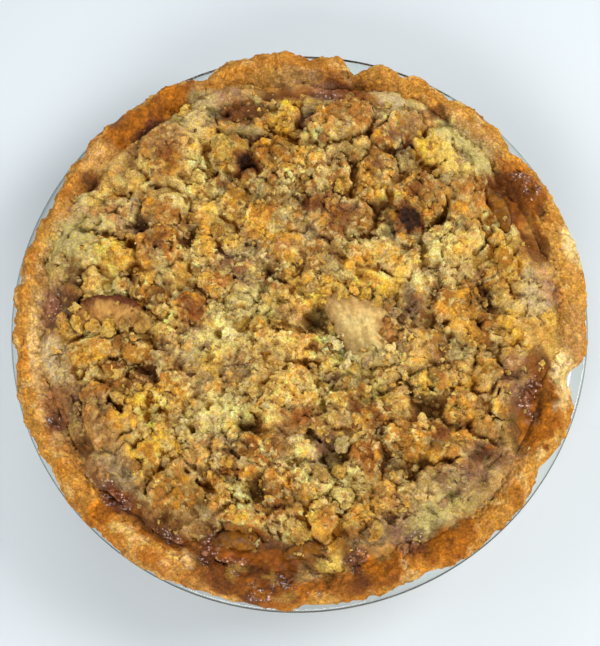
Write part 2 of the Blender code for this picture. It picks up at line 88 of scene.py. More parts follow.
# Clumps: x, y, length, width, turn, tone, and whether the clump is grainy (1) or smooth (0).
CRUMBS = (
    (-57, 76, 27, 25, 40, "tan", 1), (-43, 85, 17, 14, 115, "sand", 1), (-29, 73, 18, 15, 60, "olive", 1),
    (-24, 94, 26, 12, 5, "brown", 0), (-5, 89, 16, 11, 80, "yellow", 1), (-7, 71, 25, 14, 170, "gold", 1),
    (20, 87, 27, 18, 10, "tan", 1), (22, 73, 21, 10, 15, "cream", 1), (33, 61, 26, 14, 75, "gold", 1),
    (60, 75, 17, 15, 30, "yellow", 1), (48, 89, 14, 12, 0, "gold", 1), (65, 86, 11, 9, 60, "cream", 1),
    (76, 71, 20, 13, 140, "pale", 1), (17, 43, 27, 20, 155, "mauve", 1), (13, 59, 21, 14, 20, "brown", 1),
    (52, 52, 22, 19, 30, "tan", 1), (46, 41, 14, 11, 110, "burnt", 1), (72, 50, 20, 18, 100, "tan", 1),
    (67, 31, 24, 18, 20, "cream", 1), (26, 28, 36, 13, 4, "gold", 1), (11, 14, 17, 11, 150, "yellow", 1),
    (32, 13, 21, 12, 160, "yellow", 0), (87, 23, 17, 8, 85, "yellow", 1), (67, 3, 21, 19, 30, "gold", 1),
    (84, 10, 12, 8, 95, "gold", 1), (87, -6, 14, 11, 95, "yellow", 0), (98, -7, 14, 11, 100, "gold", 0),
    (50, -14, 21, 15, 10, "sand", 0), (71, -9, 15, 13, 0, "gold", 1), (-2, -13, 34, 13, 165, "sand", 1),
    (-88, 52, 24, 12, 25, "cream", 1), (-78, 44, 15, 12, 100, "pale", 1), (-57, 47, 19, 17, 90, "tan", 0),
    (-58, 31, 19, 18, 0, "tan", 1), (-92, 31, 16, 15, 20, "cream", 1), (-76, 27, 17, 13, 150, "yellow", 1),
    (-86, 17, 11, 9, 80, "sand", 0), (-45, 4, 15, 12, 170, "brown", 1), (-86, -14, 19, 12, 20, "gold", 1),
    (-66, -15, 15, 9, 170, "gold", 1), (-83, -48, 22, 14, 115, "tan", 1),
    (-68, -43, 17, 10, 100, "gold", 1), (-50, -31, 19, 15, 30, "gold", 1),
    (-57, -53, 17, 13, 60, "yellow", 1), (-50, -73, 22, 19, 40, "tan", 1),
    (-8, -70, 18, 12, 100, "tan", 1), (-21, -85, 19, 11, 10, "gold", 1), (-26, -41, 19, 9, 75, "cream", 1),
    (-3, -35, 28, 22, 60, "sand", 1), (29, -44, 15, 12, 30, "brown", 1), (27, -60, 16, 14, 80, "brown", 1),
    (54, -54, 38, 15, 170, "gold", 1), (42, -38, 17, 9, 95, "sand", 1), (67, -38, 16, 11, 70, "gold", 1),
    (10, -85, 15, 12, 80, "gold", 1), (25, -82, 10, 8, 20, "gold", 1), (36, -75, 13, 10, 120, "sand", 1),
    (56, -77, 25, 13, 30, "pale", 0), (72, -69, 15, 12, 60, "pale", 0), (15, -99, 9, 8, 0, "yellow", 1),
    (-14, 44, 17, 13, 50, "gold", 1), (-39, 33, 12, 10, 80, "gold", 1), (-27, 33, 8, 7, 40, "yellow", 0),
    (-4, 30, 16, 11, 20, "gold", 1), (-35, 16, 16, 11, 170, "tan", 1), (-50, 18, 11, 10, 40, "gold", 0),
    (-24, 4, 15, 11, 20, "cream", 1), (-47, 60, 17, 13, 130, "cream", 1),
    (-27, 52, 14, 10, 90, "yellow", 1), (-8, 55, 15, 12, 30, "olive", 1),
    (-33, -17, 15, 12, 60, "yellow", 1), (-27, -62, 10, 8, 110, "brown", 1),
    (2, -56, 14, 10, 160, "cream", 1), (86, -36, 15, 11, 70, "pale", 1), (52, 12, 12, 10, 60, "cream", 1),
)
# Slices: the outline of the middle one, and arcs as middle x, y, radius, first and last angle, width.
MIDDLE_OUTLINE = (
    (12, 6), (14, -3), (18, -12), (22, -19), (32, -22), (42, -20), (42, -9), (39, 1), (30, 6), (20, 9),
)
LEFT_ARC = (-78, -30, 32.5, 60, 120, 14.5)
RIGHT_ARC = (60, 34, 28, 4, 56, 9)
FRONT_ARC = (-25, -113, 21, 58, 116, 9)
NEAR_ARC = (5, -120, 23, 64, 118, 8)
# Crumbs lying over the slices' edges: x, y, size, tone.
SLICE_CRUMBS = (
    (13, 10, 6, "gold"), (18, 9.5, 7, "yellow"), (24, 8.5, 6, "gold"), (29, 7.5, 7, "yellow"),
    (34, 5, 6, "gold"), (37.5, 2.5, 5.5, "tan"), (40.5, -1, 5, "tan"), (21, 6.5, 3, "gold"),
    (26.5, 5.5, 3, "yellow"), (32, 3, 3, "gold"), (37, -4, 4, "brown"), (40, -7, 4.5, "gold"),
    (36, -9, 4, "tan"), (39.5, -11.5, 4.5, "brown"), (35.5, -13, 4, "gold"), (42.5, -10, 4, "gold"),
    (38.5, -15.5, 5, "cream"), (42.5, -15, 5, "pale"), (41, -19, 6, "cream"), (34, -18, 5, "cream"),
    (29.5, -21, 6, "pale"), (24.5, -20, 5, "cream"), (21, -19, 4.5, "cream"), (27, -17, 3.5, "sand"),
    (31.5, -15.5, 3.5, "sand"), (37.5, -19.5, 4, "sand"), (17, -14, 5, "cream"), (14, -11.5, 4, "cream"),
    (18, -10, 3, "pale"), (20, -22, 5, "cream"), (-91, -3, 8, "yellow"), (-84, -3.5, 7, "gold"),
    (-78, -5, 7.5, "yellow"), (-71, -3.5, 6.5, "tan"), (-64, -2, 8, "gold"), (-87, 0.5, 4, "yellow"),
    (-92, 4, 5, "yellow"),
)

# ---------------------------------------------------------------- colours, as sRGB

# Crumble tones: crevice colour (laid in as painted shade in seams, crevices and hollows, and as the
# caramel-soaked tone of the deepest holes), sides and baked tops.
TONES = {
    "cream": ((150, 116, 48), (206, 192, 136), (222, 202, 136)),
    "pale": ((124, 92, 54), (180, 158, 120), (190, 164, 112)),
    "sand": ((146, 98, 34), (212, 182, 112), (230, 186, 106)),
    "yellow": ((150, 96, 10), (220, 186, 92), (232, 182, 70)),
    "gold": ((124, 76, 12), (204, 168, 88), (214, 158, 66)),
    "tan": ((108, 66, 22), (188, 154, 94), (176, 120, 54)),
    "olive": ((92, 68, 16), (166, 146, 78), (184, 150, 74)),
    "brown": ((88, 50, 16), (152, 106, 50), (132, 78, 28)),
    "mauve": ((80, 52, 36), (156, 122, 92), (130, 90, 62)),
    "burnt": ((34, 22, 12), (120, 84, 44), (60, 42, 32)),
    "caramel": ((60, 28, 2), (128, 72, 12), (138, 80, 14)),
}
# Further toned places on the bed: x, y, reach.
PATCHES = {
    "mauve": (
        (-98, 4, 7), (-66, 40, 5), (-36, 91, 7), (4, 88, 5), (-23, 24, 10), (45, 79, 6), (57, 17, 4),
        (70, -65, 7), (62, -70, 6), (40, -90, 8), (-96, -36, 8), (-65, -68, 8), (-77, -64, 7),
        (70, -68, 9), (47, 4, 7), (74, -60, 7), (-20, 83, 6), (65, -70, 7), (9, -57, 7), (14, -27, 5),
    ),
    "pale": (
        (-71, 47, 6), (36, 95, 6), (99, 12, 8), (-100, -16, 8), (-46, -12, 8), (-25, -20, 7),
        (-41, -29, 6), (-40, -88, 7), (-8, -93, 8), (-30, -92, 7), (59, -84, 9), (-35, -55, 8), (5, 40, 6),
        (-43, -60, 7),
    ),
    "cream": (
        (-18, 20, 5), (9, -31, 8), (18, -71, 8), (-22, -75, 5), (73, 73, 11), (65, 83, 8), (44, 94, 7),
        (-38, 99, 7), (-89, 52, 7), (-96, 35, 9), (-101, 21, 7), (-30, -12, 7), (-45, -45, 9),
        (-78, 16, 7), (77, 68, 9), (-50, 88, 8), (19, -16, 6), (10, 78, 6), (13, -65, 6), (-23, -44, 6),
        (-41, 65, 6), (13, -15, 4), (13, -14, 5), (-43, -60, 6), (13, -15, 5), (-15, 12, 5), (18, -19, 5),
    ),
    "brown": (
        (36, -12, 5), (1, -45, 8), (-55, -89, 8), (15, 103, 8), (82, -57, 8), (-12, 16, 5), (-14, -54, 8),
        (60, -17, 9), (-28, 55, 7), (-12, 73, 7), (80, -7, 7), (58, -53, 8), (76, 6, 6), (-22, 83, 7),
        (-47, -77, 7), (50, -44, 5), (26, -29, 5), (43, 68, 6), (36, 77, 6), (-20, 83, 6), (63, -15, 6),
        (-16, 87, 7), (80, 14, 7), (91, -28, 7), (-54, 65, 6), (-14, 55, 7), (22, 37, 7), (9, -101, 6),
        (-85, -39, 7), (-69, -10, 6), (-57, -18, 6), (17, -98, 5), (-72, -23, 7), (-64, -27, 6),
        (-11, -77, 7), (-32, 60, 6), (-47, -77, 7), (-57, 12, 7), (22, 68, 7), (59, 10, 7), (55, -2, 6),
        (-3, 55, 8), (-53, 38, 7), (-70, 18, 5), (34, -61, 7), (25, -93, 6),
    ),
    "tan": (
        (82, -46, 9), (88, -28, 6), (84, 55, 6), (-25, 100, 8), (-86, -54, 7), (10, 22, 9), (52, 40, 4),
        (57, -86, 6), (14, 24, 5), (-80, 61, 6), (-95, 16, 6), (37, -77, 7), (50, -49, 6), (-7, 46, 7),
        (-62, 25, 6), (-50, 69, 6), (-23, -31, 6),
    ),
    "gold": (
        (96, 33, 6), (-80, 60, 8), (-4, -98, 6), (104, -9, 6), (37, 27, 8), (-3, -93, 6), (-15, -48, 6),
        (-66, 20, 6), (39, 51, 6), (52, 46, 6), (68, 28, 6), (10, 78, 6), (22, 55, 6), (-45, 56, 6),
        (5, -19, 6), (81, 41, 7), (-35, -73, 6), (-98, -5, 6), (78, -41, 7),
    ),
    "olive": (
        (-12, 3, 6), (9, -3, 6), (30, -32, 7), (-32, 56, 6), (-47, -77, 7), (13, -36, 7), (25, -27, 6),
        (-91, 38, 6), (50, -28, 7), (-20, 51, 6),
    ),
    "sand": (
        (-70, 65, 8), (9, -10, 5), (22, -48, 6), (-60, -40, 6), (-53, -1, 6), (81, 41, 6), (67, -24, 5),
        (-15, -44, 6), (92, 10, 6), (-37, 74, 6),
    ),
    "yellow": (
        (-58, -63, 9), (-51, -60, 8), (-60, -39, 9), (10, -12, 6), (14, -19, 5),
    ),
    "burnt": (
        (14, 24, 6), (63, -15, 6), (58, -53, 6), (42, 36, 5),
    ),
}
# Lighter and darker spots on the crumble: x, y, reach, factor.
SPOTS = (
    (17, -14, 5, 1.8), (-60, -40, 7, 1.6), (10, 78, 7, 1.6), (-3, -93, 6, 1.6), (14, 24, 7, 0.55),
    (26, -57, 7, 1.6), (-78, 16, 6, 1.4), (39, 51, 6, 1.7), (-11, -61, 7, 1.5), (5, -65, 6, 1.35),
    (-15, -45, 6, 1.6), (-43, -60, 6, 1.2), (63, -15, 7, 0.6), (-62, 25, 7, 0.6), (-56, -18, 7, 0.6),
    (-48, -48, 6, 0.7), (-20, 83, 7, 0.6), (-7, 73, 6, 0.6), (-16, 46, 6, 0.65), (50, -45, 7, 0.6),
    (-23, -53, 6, 0.6), (52, 86, 7, 0.6), (-24, 52, 6, 0.7), (87, -37, 6, 0.6), (-47, -77, 8, 0.65),
    (22, -44, 5, 0.75), (45, -90, 7, 0.6), (57, -86, 6, 0.65), (29, -98, 5, 0.65), (62, -61, 6, 1.5),
    (78, -49, 6, 0.65), (-72, -52, 6, 0.65), (52, 41, 5, 1.4), (-75, 61, 6, 0.7), (-11, 69, 6, 0.65),
    (64, 59, 6, 0.65), (-44, -40, 6, 0.75), (-24, 7, 6, 0.8), (-37, 87, 6, 0.65), (9, -15, 5, 1.5),
    (68, 32, 5, 0.75), (18, -20, 5, 1.4), (30, 12, 5, 1.4), (26, -28, 6, 0.6), (10, 46, 7, 0.65),
    (-54, 65, 6, 0.65), (-53, -1, 6, 1.4), (81, 41, 6, 1.4), (13, -65, 6, 1.3), (-23, -44, 6, 1.3),
    (-66, 20, 6, 1.4), (-41, 65, 6, 1.3),
)
# Scorched spots: x, y, reach, and how dark, 0 to 1.
SCORCHED = (
    (-55, 70, 6, 0.4), (-22, 68, 6, 0.85), (57, 91, 4, 0.6), (46, 41.5, 5.6, 1), (9, 48, 5, 0.5),
    (59, -51, 3.5, 0.65), (69, -47, 3, 0.65), (-99, -44, 3, 0.75), (46, 77, 3, 0.45), (-43, 5, 5, 0.5),
    (16, -23, 2, 0.75), (24, -39, 4, 0.6), (1, -44, 6, 0.4), (-74, -71, 3, 0.5), (-32, 57, 3.5, 0.35),
    (8, -13, 3, 0.35), (52, 55, 5, 0.4), (-58, 33, 5, 0.4), (17, 40, 8, 0.35), (-24, 95, 7, 0.4),
    (33, 63, 5, 0.3),
)
# Where caramel has boiled up over the pastry: angle, reach, half length round the rim, half width.
CARAMEL_POOLS = (
    (29.5, 105, 14, 12), (17, 105, 9, 6), (82, 103, 11, 5), (95, 102, 9, 4), (105, 96, 9, 4),
    (116, 111, 6, 6), (128.5, 112, 17, 6.5), (127, 105, 6, 3), (145.5, 106, 3, 5), (178, 102, 12, 5),
    (203.5, 108, 4, 3), (225, 105, 7, 5), (226, 114, 5, 4), (238, 106, 18, 3), (258, 99.5, 24, 9.5),
    (262, 112, 22, 8), (286, 112, 13, 6), (253, 97, 14, 6), (303, 111, 13, 7), (321, 95, 5, 2),
    (336.5, 106, 17, 10), (348, 101, 8, 5),
)
# Darker, purplish places in the caramel: angle, reach, half length, half width.
PLUM_POOLS = (
    (31, 112, 10, 4), (83, 101, 7, 3), (127.5, 105, 6, 2.5), (176, 101, 8, 4), (203.5, 108, 5, 3.5),
    (225, 105, 7, 4.5), (240, 104, 8, 2.5), (250, 103, 4, 8), (256, 106, 6, 2.5), (259, 96, 4, 3),
    (261, 115, 9, 3.5), (268, 110, 5, 5), (273, 116, 4, 2.5), (283, 104, 5, 7), (296, 105, 7, 4),
    (336, 106, 4, 3), (341, 101, 7, 4),
)
# Stains round the rim, laid in this order: angle, reach, length along and across, colour, strength.
RIM_STAINS = (
    (284, 114, 18, 4.5, "russet", 0.4), (82, 102, 9, 5, "mauve", 0.8), (92, 101, 9, 4, "brown", 0.8),
    (98, 107, 9, 6, "gold", 0.6), (104, 94, 13, 3.5, "dark", 0.7), (107, 104, 7, 4, "mauve", 0.7),
    (113, 104, 6, 8, "cream", 0.9), (118, 97, 8, 8, "cream", 0.6), (118, 112, 7, 6, "amber", 0.8),
    (130, 112, 14, 6, "amber", 0.9), (126.5, 106, 9, 3, "plum", 0.8), (136, 103, 9, 5, "tan", 0.6),
    (140, 112, 9, 6, "pale", 0.4), (145, 107, 5, 5, "brown", 0.8), (153, 105, 6, 4, "mauve", 0.5),
    (160, 101, 10, 9, "green", 0.8), (170, 104, 8, 5, "olive", 0.6), (177, 103, 12, 5, "mauve", 0.7),
    (172, 96, 10, 4, "dark", 0.7), (189, 103, 10, 4, "white", 0.8), (186, 110, 14, 2.5, "pale", 0.8),
    (200, 105, 8, 5, "brown", 0.7), (204, 108, 5, 3, "plum", 0.8), (208, 109, 3, 5, "pale", 0.5),
    (216, 104, 10, 3, "brown", 0.7), (210, 94, 10, 6, "tan", 0.5), (222, 97, 10, 5, "grey", 0.7),
    (227, 106, 4, 5, "plum", 0.7), (226, 113, 6, 4, "amber", 0.8), (236, 103, 16, 4, "brown", 0.8),
    (247, 97, 8, 5, "tan", 0.6), (247, 109, 4, 3, "pale", 0.6), (252, 103, 9, 6, "russet", 0.9),
    (250, 106, 3, 5, "plum", 0.7), (262, 97, 15, 4, "dark", 0.7), (264, 107, 14, 6, "russet", 0.8),
    (252, 111, 9, 7, "russet", 0.7), (262, 114, 10, 4, "russet", 0.7), (272, 113, 8, 5, "amber", 0.7),
    (256, 110, 3, 2.5, "gold", 0.8), (268, 116, 5, 2.5, "gold", 0.7), (258, 106, 4, 2, "gold", 0.8),
    (264, 108, 3, 2, "gold", 0.7), (272, 107, 5, 4, "white", 0.7), (273, 100, 8, 5, "brown", 0.7),
    (278, 103, 5, 4, "yellow", 0.9), (276, 113, 5, 4, "russet", 0.6), (283, 104, 4, 5, "plum", 0.7),
    (288, 107, 6, 8, "amber", 0.7), (290, 98, 5, 6, "grey", 0.7), (294, 100, 4, 5, "mauve", 0.7),
    (297, 107, 5, 3, "plum", 0.7), (303, 112, 10, 5, "amber", 0.8), (306, 101, 16, 6, "green", 0.9),
    (316, 98, 6, 6, "mauve", 0.6), (321, 95, 4, 3, "dark", 0.8), (325, 103, 6, 5, "mauve", 0.6),
    (331, 101, 8, 6, "olive", 0.8), (337, 107, 12, 5, "amber", 0.9), (340, 97, 8, 4, "mauve", 0.7),
    (348, 103, 5, 5, "russet", 0.6), (346, 92, 10, 4, "mauve", 0.5), (-4, 101, 9, 7, "gold", 0.5),
    (-4, 114, 14, 5, "pale", 0.35), (5, 99, 12, 5, "white", 0.7), (9, 103, 7, 3, "tan", 0.6),
    (6, 106, 8, 3, "mauve", 0.6), (17, 103, 10, 6, "brown", 0.8), (12, 111, 8, 4, "gold", 0.6),
    (23, 105, 6, 3, "gold", 0.6), (30, 102, 15, 6, "russet", 0.8), (23, 112.5, 2.5, 1.5, "dark", 0.9),
    (31, 113, 10, 4, "amber", 0.8), (43, 104, 9, 6, "green", 0.9), (51, 104, 7, 6, "green", 0.9),
    (46, 94, 8, 5, "yellow", 0.5), (56, 108, 4, 3, "dark", 0.8), (59, 101, 6, 5, "tan", 0.6),
    (67, 103, 7, 4, "white", 0.8), (73, 101, 8, 3, "brown", 0.6), (78, 102, 8, 4, "russet", 0.8),
    (313, 105, 12, 5, "olive", 0.5), (289.5, 104, 2.5, 2.5, "gold", 0.8), (31, 110, 8, 4, "russet", 0.7),
    (349, 110.5, 5, 3, "butter", 0.9), (343, 113.5, 7, 2.5, "butter", 0.6), (15, 117, 5, 2, "butter", 0.5),
    (90, 108, 10, 4, "pale", 0.4), (47, 110, 14, 4, "pale", 0.4), (276, 118, 6, 3, "gold", 0.6),
    (322, 108, 8, 4, "tan", 0.6), (265, 102, 8, 4, "umber", 0.6), (271, 107.5, 4, 3, "gold", 0.6),
    (250, 101, 7, 3.5, "umber", 0.7), (277, 110, 4, 3.5, "umber", 0.6), (262, 114.5, 6, 2.5, "amber", 0.6),
    (331.5, 103, 6, 5, "umber", 0.6), (339, 102, 7, 5, "umber", 0.85), (281, 115, 6, 3, "russet", 0.5),
    (201, 106, 9, 5, "clay", 0.6), (203.5, 108.5, 2.4, 2.2, "dark", 0.8),
)
RIM_STAIN_COLOURS = {
    "mauve": (164, 120, 88),
    "plum": (112, 62, 48),
    "brown": (138, 86, 38),
    "dark": (98, 56, 24),
    "russet": (132, 72, 24),
    "umber": (108, 60, 16),
    "clay": (162, 108, 66),
    "amber": (204, 120, 20),
    "cream": (198, 172, 112),
    "green": (186, 168, 106),
    "white": (194, 170, 126),
    "grey": (172, 146, 100),
    "olive": (168, 132, 68),
    "gold": (202, 152, 74),
    "yellow": (222, 188, 92),
    "pale": (222, 182, 116),
    "butter": (242, 210, 146),
    "tan": (190, 144, 84),
}
STICKY_STAINS = ("russet", "amber", "plum", "dark", "umber", "clay")
INKS = {
    "crust_gold": (212, 154, 74),
    "crust_brown": (172, 106, 38),
    "crust_pale": (238, 208, 148),
    "crust_orange": (218, 142, 52),
    "crust_toasted": (172, 98, 30),
    "crust_crack_shade": (136, 76, 18),
    "crust_dusky": (136, 94, 62),
    "crust_plum": (108, 50, 22),
    "crust_pit": (118, 58, 22),
    "caramel_deep": (88, 40, 2),
    "caramel_bright": (156, 86, 2),
    "caramel_halo": (178, 106, 28),
    "filling_light": (144, 76, 2),
    "filling_deep": (78, 36, 2),
    "filling_bit": (172, 106, 20),
    "filling_plum": (92, 42, 26),
    "apple_shred": (160, 110, 76),
    "flesh_pale": (216, 188, 118),
    "flesh": (194, 158, 92),
    "flesh_far": (172, 124, 66),
    "flesh_near": (178, 160, 98),
    "flesh_streak": (220, 196, 130),
    "flesh_fibre": (150, 112, 60),
    "flesh_toasted": (168, 104, 42),
    "flesh_painted_shade_left": (140, 106, 58),
    "flesh_edge": (150, 104, 46),
    "left_flesh": (190, 142, 74),
    "left_deep": (156, 104, 46),
    "left_rind": (92, 42, 14),
    "glazed_flesh": (138, 86, 12),
    "glazed_deep": (94, 54, 6),
    "glazed_rind": (76, 38, 8),
    "crumb_singed": (152, 100, 44),
    "crumb_buttery": (228, 176, 84),
    "bed_singed": (154, 100, 44),
    "bed_golden": (234, 168, 48),
    "bed_cream": (214, 202, 144),
    "bed_dusty": (172, 132, 98),
    "chip_pale": (230, 210, 146),
    "chip_brown": (160, 98, 40),
    "hollow_caramel_and_shade": (104, 72, 30),
    "scorched_edge": (128, 68, 26),
    "scorched": (46, 27, 18),
    "bed_plum": (98, 54, 38),
    "painted_glint": (236, 206, 190),
    "glass": (246, 251, 249),
    "glass_green_and_painted_dark_edge": (116, 150, 136),
    "glass_shadow": (246, 250, 248),
    "table_dark": (195, 202, 206),
    "table_light": (201, 208, 212),
}


def near(angle, middle, width):
    """1 at the middle angle and fading to both sides over the width."""
    turn = (angle - middle + 180) % 360 - 180
    return np.exp(-((turn / width) ** 2))


def bumps(angle, rows, column=2):
    """The sum of a table's changes round the rim; its rows begin with angle and width."""
    return sum(row[column] * near(angle, row[0], row[1]) for row in rows)


def ripple(angle, radius, wave, seed):
    """Smooth noise round a circle at one angle or many, about -1 to 1."""
    turns = np.atleast_1d(np.radians(angle)).tolist()
    scale = radius / wave
    made = [1.6 * noise.noise((scale * math.cos(a), scale * math.sin(a), 7.3 * seed)) for a in turns]
    return np.array(made) if np.ndim(angle) else made[0]


def rim_edge(angle):
    crimps = 0.9 * ripple(angle, RIM_REACH, RIM_CRIMP, 1) + 0.7 * ripple(angle, RIM_REACH, 7, 2)
    return np.minimum(RIM_LIMIT, RIM_REACH + crimps + bumps(angle, RIM_CHANGES))


def rim_height(angle):
    return RIM_CREST + bumps(angle, RIM_CHANGES, 3) + 1.1 * ripple(angle, RIM_REACH, RIM_CRIMP, 3)


def heap_edge(angle):
    return np.minimum(HEAP_LIMIT, 98.6 - bumps(angle, HEAP_BAYS) + 1.2 * ripple(angle, 98, 14, 12))


def cover_edge(angle):
    """The crumble's own edge: up against the pastry, but drawn back where the caramel shows."""
    return COVER_REACH - bumps(angle, COVER_BAYS)


def heap_top(x, y):
    share = min(1, math.hypot(x, y) / heap_edge(math.degrees(math.atan2(y, x))))
    height = HEAP_RIM + HEAP_DOME * (1 - share**3)
    height += 1.95 * noise.noise((x / 24, y / 24, 0)) + 0.9 * noise.noise((x / 9, y / 9, 1000 / 9))
    for hx, hy, wide, deep in HOLLOWS:
        height -= deep * math.exp(-((math.hypot(x - hx, y - hy) / wide) ** 2))
    return max(height, HEAP_BASE + 1.2)


def clear_of_rim(x, y, length):
    reach = math.hypot(x, y)
    most = HEAP_LIMIT - 0.5 * length
    return (x, y) if reach <= most else (x * most / reach, y * most / reach)


def filler_places(draw):
    """Places and sizes of smaller clumps in the gaps between the larger ones."""
    taken = [(row[0], row[1], 0.25 * (row[2] + row[3])) for row in CRUMBS]
    places = []
    for attempt in range(9000):
        if len(places) == FILLER_CRUMBS:
            break
        reach = 97 * math.sqrt(draw.random())
        angle = draw.uniform(0, 2 * math.pi)
        size = FILLER_MOST - (FILLER_MOST - FILLER_LEAST) * min(1, attempt / 3000)
        x, y = reach * math.cos(angle), reach * math.sin(angle)
        if reach + 0.5 * size > heap_edge(math.degrees(angle)) + 1.5:
            continue
        if any(math.hypot(x - tx, y - ty) < tr + 0.45 * size for tx, ty, tr in taken):
            continue
        taken.append((x, y, 0.5 * size))
        places.append((x, y, size))
    return places


# ---------------------------------------------------------------- noise over many points


def cell_draw(ix, iy, iz, seed):
    """A repeatable number from 0 to 1 for each whole-numbered cell."""
    h = ix.astype(np.uint32) * np.uint32(374761393) + iy.astype(np.uint32) * np.uint32(668265263)
    h = h + iz.astype(np.uint32) * np.uint32(2246822519) + np.uint32((seed * 3266489917) & 0xFFFFFFFF)
    h = (h ^ (h >> np.uint32(15))) * np.uint32(2246822519)
    h = (h ^ (h >> np.uint32(13))) * np.uint32(3266489917)
    h = h ^ (h >> np.uint32(16))
    return h.astype(np.float32) / np.float32(4294967296.0)


def soft_noise(points, size, seed):
    """Smooth noise, -1 to 1, with lumps about the given size across."""
    p = points.astype(np.float32) / size + np.float32(0.37 * seed + 50)
    p = np.stack([p[:, 0] + 0.31 * p[:, 1], p[:, 1] - 0.27 * p[:, 2], p[:, 2] + 0.23 * p[:, 0]], axis=1)
    low = np.floor(p)
    t = p - low
    t = t * t * t * (t * (t * 6 - 15) + 10)
    low = low.astype(np.int64)
    total = np.zeros(len(p), np.float32)
    for corner in range(8):
        cx, cy, cz = corner & 1, corner >> 1 & 1, corner >> 2 & 1
        weight = (t[:, 0] if cx else 1 - t[:, 0]) * (t[:, 1] if cy else 1 - t[:, 1])
        weight = weight * (t[:, 2] if cz else 1 - t[:, 2])
        total += weight * cell_draw(low[:, 0] + cx, low[:, 1] + cy, low[:, 2] + cz, seed)
    return 2.6 * (total - 0.5)


def noises(points, *waves):
    """A sum of soft noises, each given as strength, size and seed."""
    return sum(strength * soft_noise(points, size, seed) for strength, size, seed in waves)


def flat_points(x, y):
    return np.stack([x, y, np.zeros_like(x)], 1)


def wandering(x, y, seed, *waves):
    """Places pushed sideways by soft noises, each given as strength and size."""
    flat = flat_points(x, y)
    pushes = []
    for first in (seed, seed + len(waves)):
        pushes.append(noises(flat, *((strength, size, first + i) for i, (strength, size) in enumerate(waves))))
    return x + pushes[0], y + pushes[1]


def bent(points, amount, size, seed):
    """The points pushed sideways by soft noise."""
    push = [soft_noise(points, size, seed), soft_noise(points, size, seed + 1), np.zeros(len(points))]
    return points + amount * np.stack(push, 1)


def cells(points, size, seed, start):
    """Random cells of about the given size: distances to the nearest two middles, a tilted facet, a draw."""
    p = points.astype(np.float32) / size + np.float32(start)
    home = np.floor(p).astype(np.int64)
    best = np.full(len(p), 9.0, np.float32)
    second = best
    own = lean = np.zeros(len(p), np.float32)
    ways = [(i, j, k) for i in (-1, 0, 1) for j in (-1, 0, 1) for k in (-1, 0, 1)]
    for way in ways:
        cx, cy, cz = (home + way).T
        a, b, c = (cell_draw(cx, cy, cz, seed + k) for k in range(3))
        ux, uy, uz = p[:, 0] - cx - a, p[:, 1] - cy - b, p[:, 2] - cz - c
        away = ux**2 + uy**2 + uz**2
        closer = away < best
        second = np.where(closer, best, np.minimum(second, away))
        best = np.where(closer, away, best)
        own = np.where(closer, a, own)
        lean = np.where(closer, ux * (2 * b - 1) + uy * (2 * c - 1), lean)
    return np.sqrt(best), np.sqrt(second), lean, own


def chips(points, size, seed):
    """Angular crumbs: the way in from each one's seam, its own tilted facet, its own draw."""
    first, second, lean, own = cells(points, size, seed, 40.5)
    return second - first, lean, own


def step(low, high, value):
    """0 at low, 1 at high and smooth between them."""
    t = np.clip((value - low) / (high - low), 0, 1)
    return t * t * (3 - 2 * t)


def mixed(a, b, share):
    return a + (b - a) * np.asarray(share)[..., None]


def linear(colour):
    c = np.asarray(colour, float) / 255
    return np.where(c <= 0.04045, c / 12.92, ((c + 0.055) / 1.055) ** 2.4)


def ink(name):
    return linear(INKS[name])


def laid(colour, *layers):
    """The colour blended towards each named ink in turn, by its share."""
    for name, share in layers:
        colour = mixed(colour, ink(name), share)
    return colour


def from_oval(reach, angle, middle, out, along, across):
    """Squared distance from the middle of an oval that lies along the rim, 1 at its edge."""
    turn = (angle - middle + 180) % 360 - 180
    return (np.radians(turn) * out / along) ** 2 + ((reach - out) / across) ** 2


# ---------------------------------------------------------------- meshes


def normals_of(points, faces):
    """Area-weighted point normals."""
    a, b, c = points[faces[:, 0]], points[faces[:, 1]], points[faces[:, 2]]
    flat = np.cross(b - a, c - a)
    total = np.zeros_like(points)
    for axis in range(3):
        for corner in range(3):
            total[:, axis] += np.bincount(faces[:, corner], flat[:, axis], len(points))
    return total / np.maximum(np.linalg.norm(total, axis=1, keepdims=True), 1e-12)


def make_piece(name, points, faces, nodes, surface, colour=None, wet=None):
    """A smooth mesh piece from points and triangles, riding on the frame."""
    mesh = bpy.data.meshes.new(name)
    mesh.vertices.add(len(points))
    mesh.vertices.foreach_set("co", (np.asarray(points, np.float64) * MM).astype(np.float32).ravel())
    mesh.loops.add(3 * len(faces))
    mesh.loops.foreach_set("vertex_index", np.asarray(faces, np.int32).ravel())
    mesh.polygons.add(len(faces))
    mesh.polygons.foreach_set("loop_start", np.arange(0, 3 * len(faces), 3, dtype=np.int32))
    mesh.polygons.foreach_set("use_smooth", np.ones(len(faces), bool))
    mesh.update(calc_edges=True)
    if colour is not None:
        rgba = np.ones((len(points), 4), np.float32)
        rgba[:, :3] = np.clip(colour, 0.002, 1)
        mesh.attributes.new("tint", "FLOAT_COLOR", "POINT").data.foreach_set("color", rgba.ravel())
        mesh.attributes.new("wet", "FLOAT", "POINT").data.foreach_set("value", np.asarray(wet, np.float32))
    mesh.materials.append(surface)
    piece = bpy.data.objects.new(name, mesh)
    bpy.context.scene.collection.objects.link(piece)
    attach(piece, "root")
    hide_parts(*nodes)


def band(number, length):
    """Triangles between a number of rows of equal length that run round the object."""
    i, j = np.meshgrid(np.arange(number - 1), np.arange(length), indexing="ij")
    k = (j + 1) % length
    a, b, c, d = i * length + j, i * length + k, (i + 1) * length + k, (i + 1) * length + j
    return np.concatenate([np.stack([a, b, c], -1).reshape(-1, 3), np.stack([a, c, d], -1).reshape(-1, 3)])


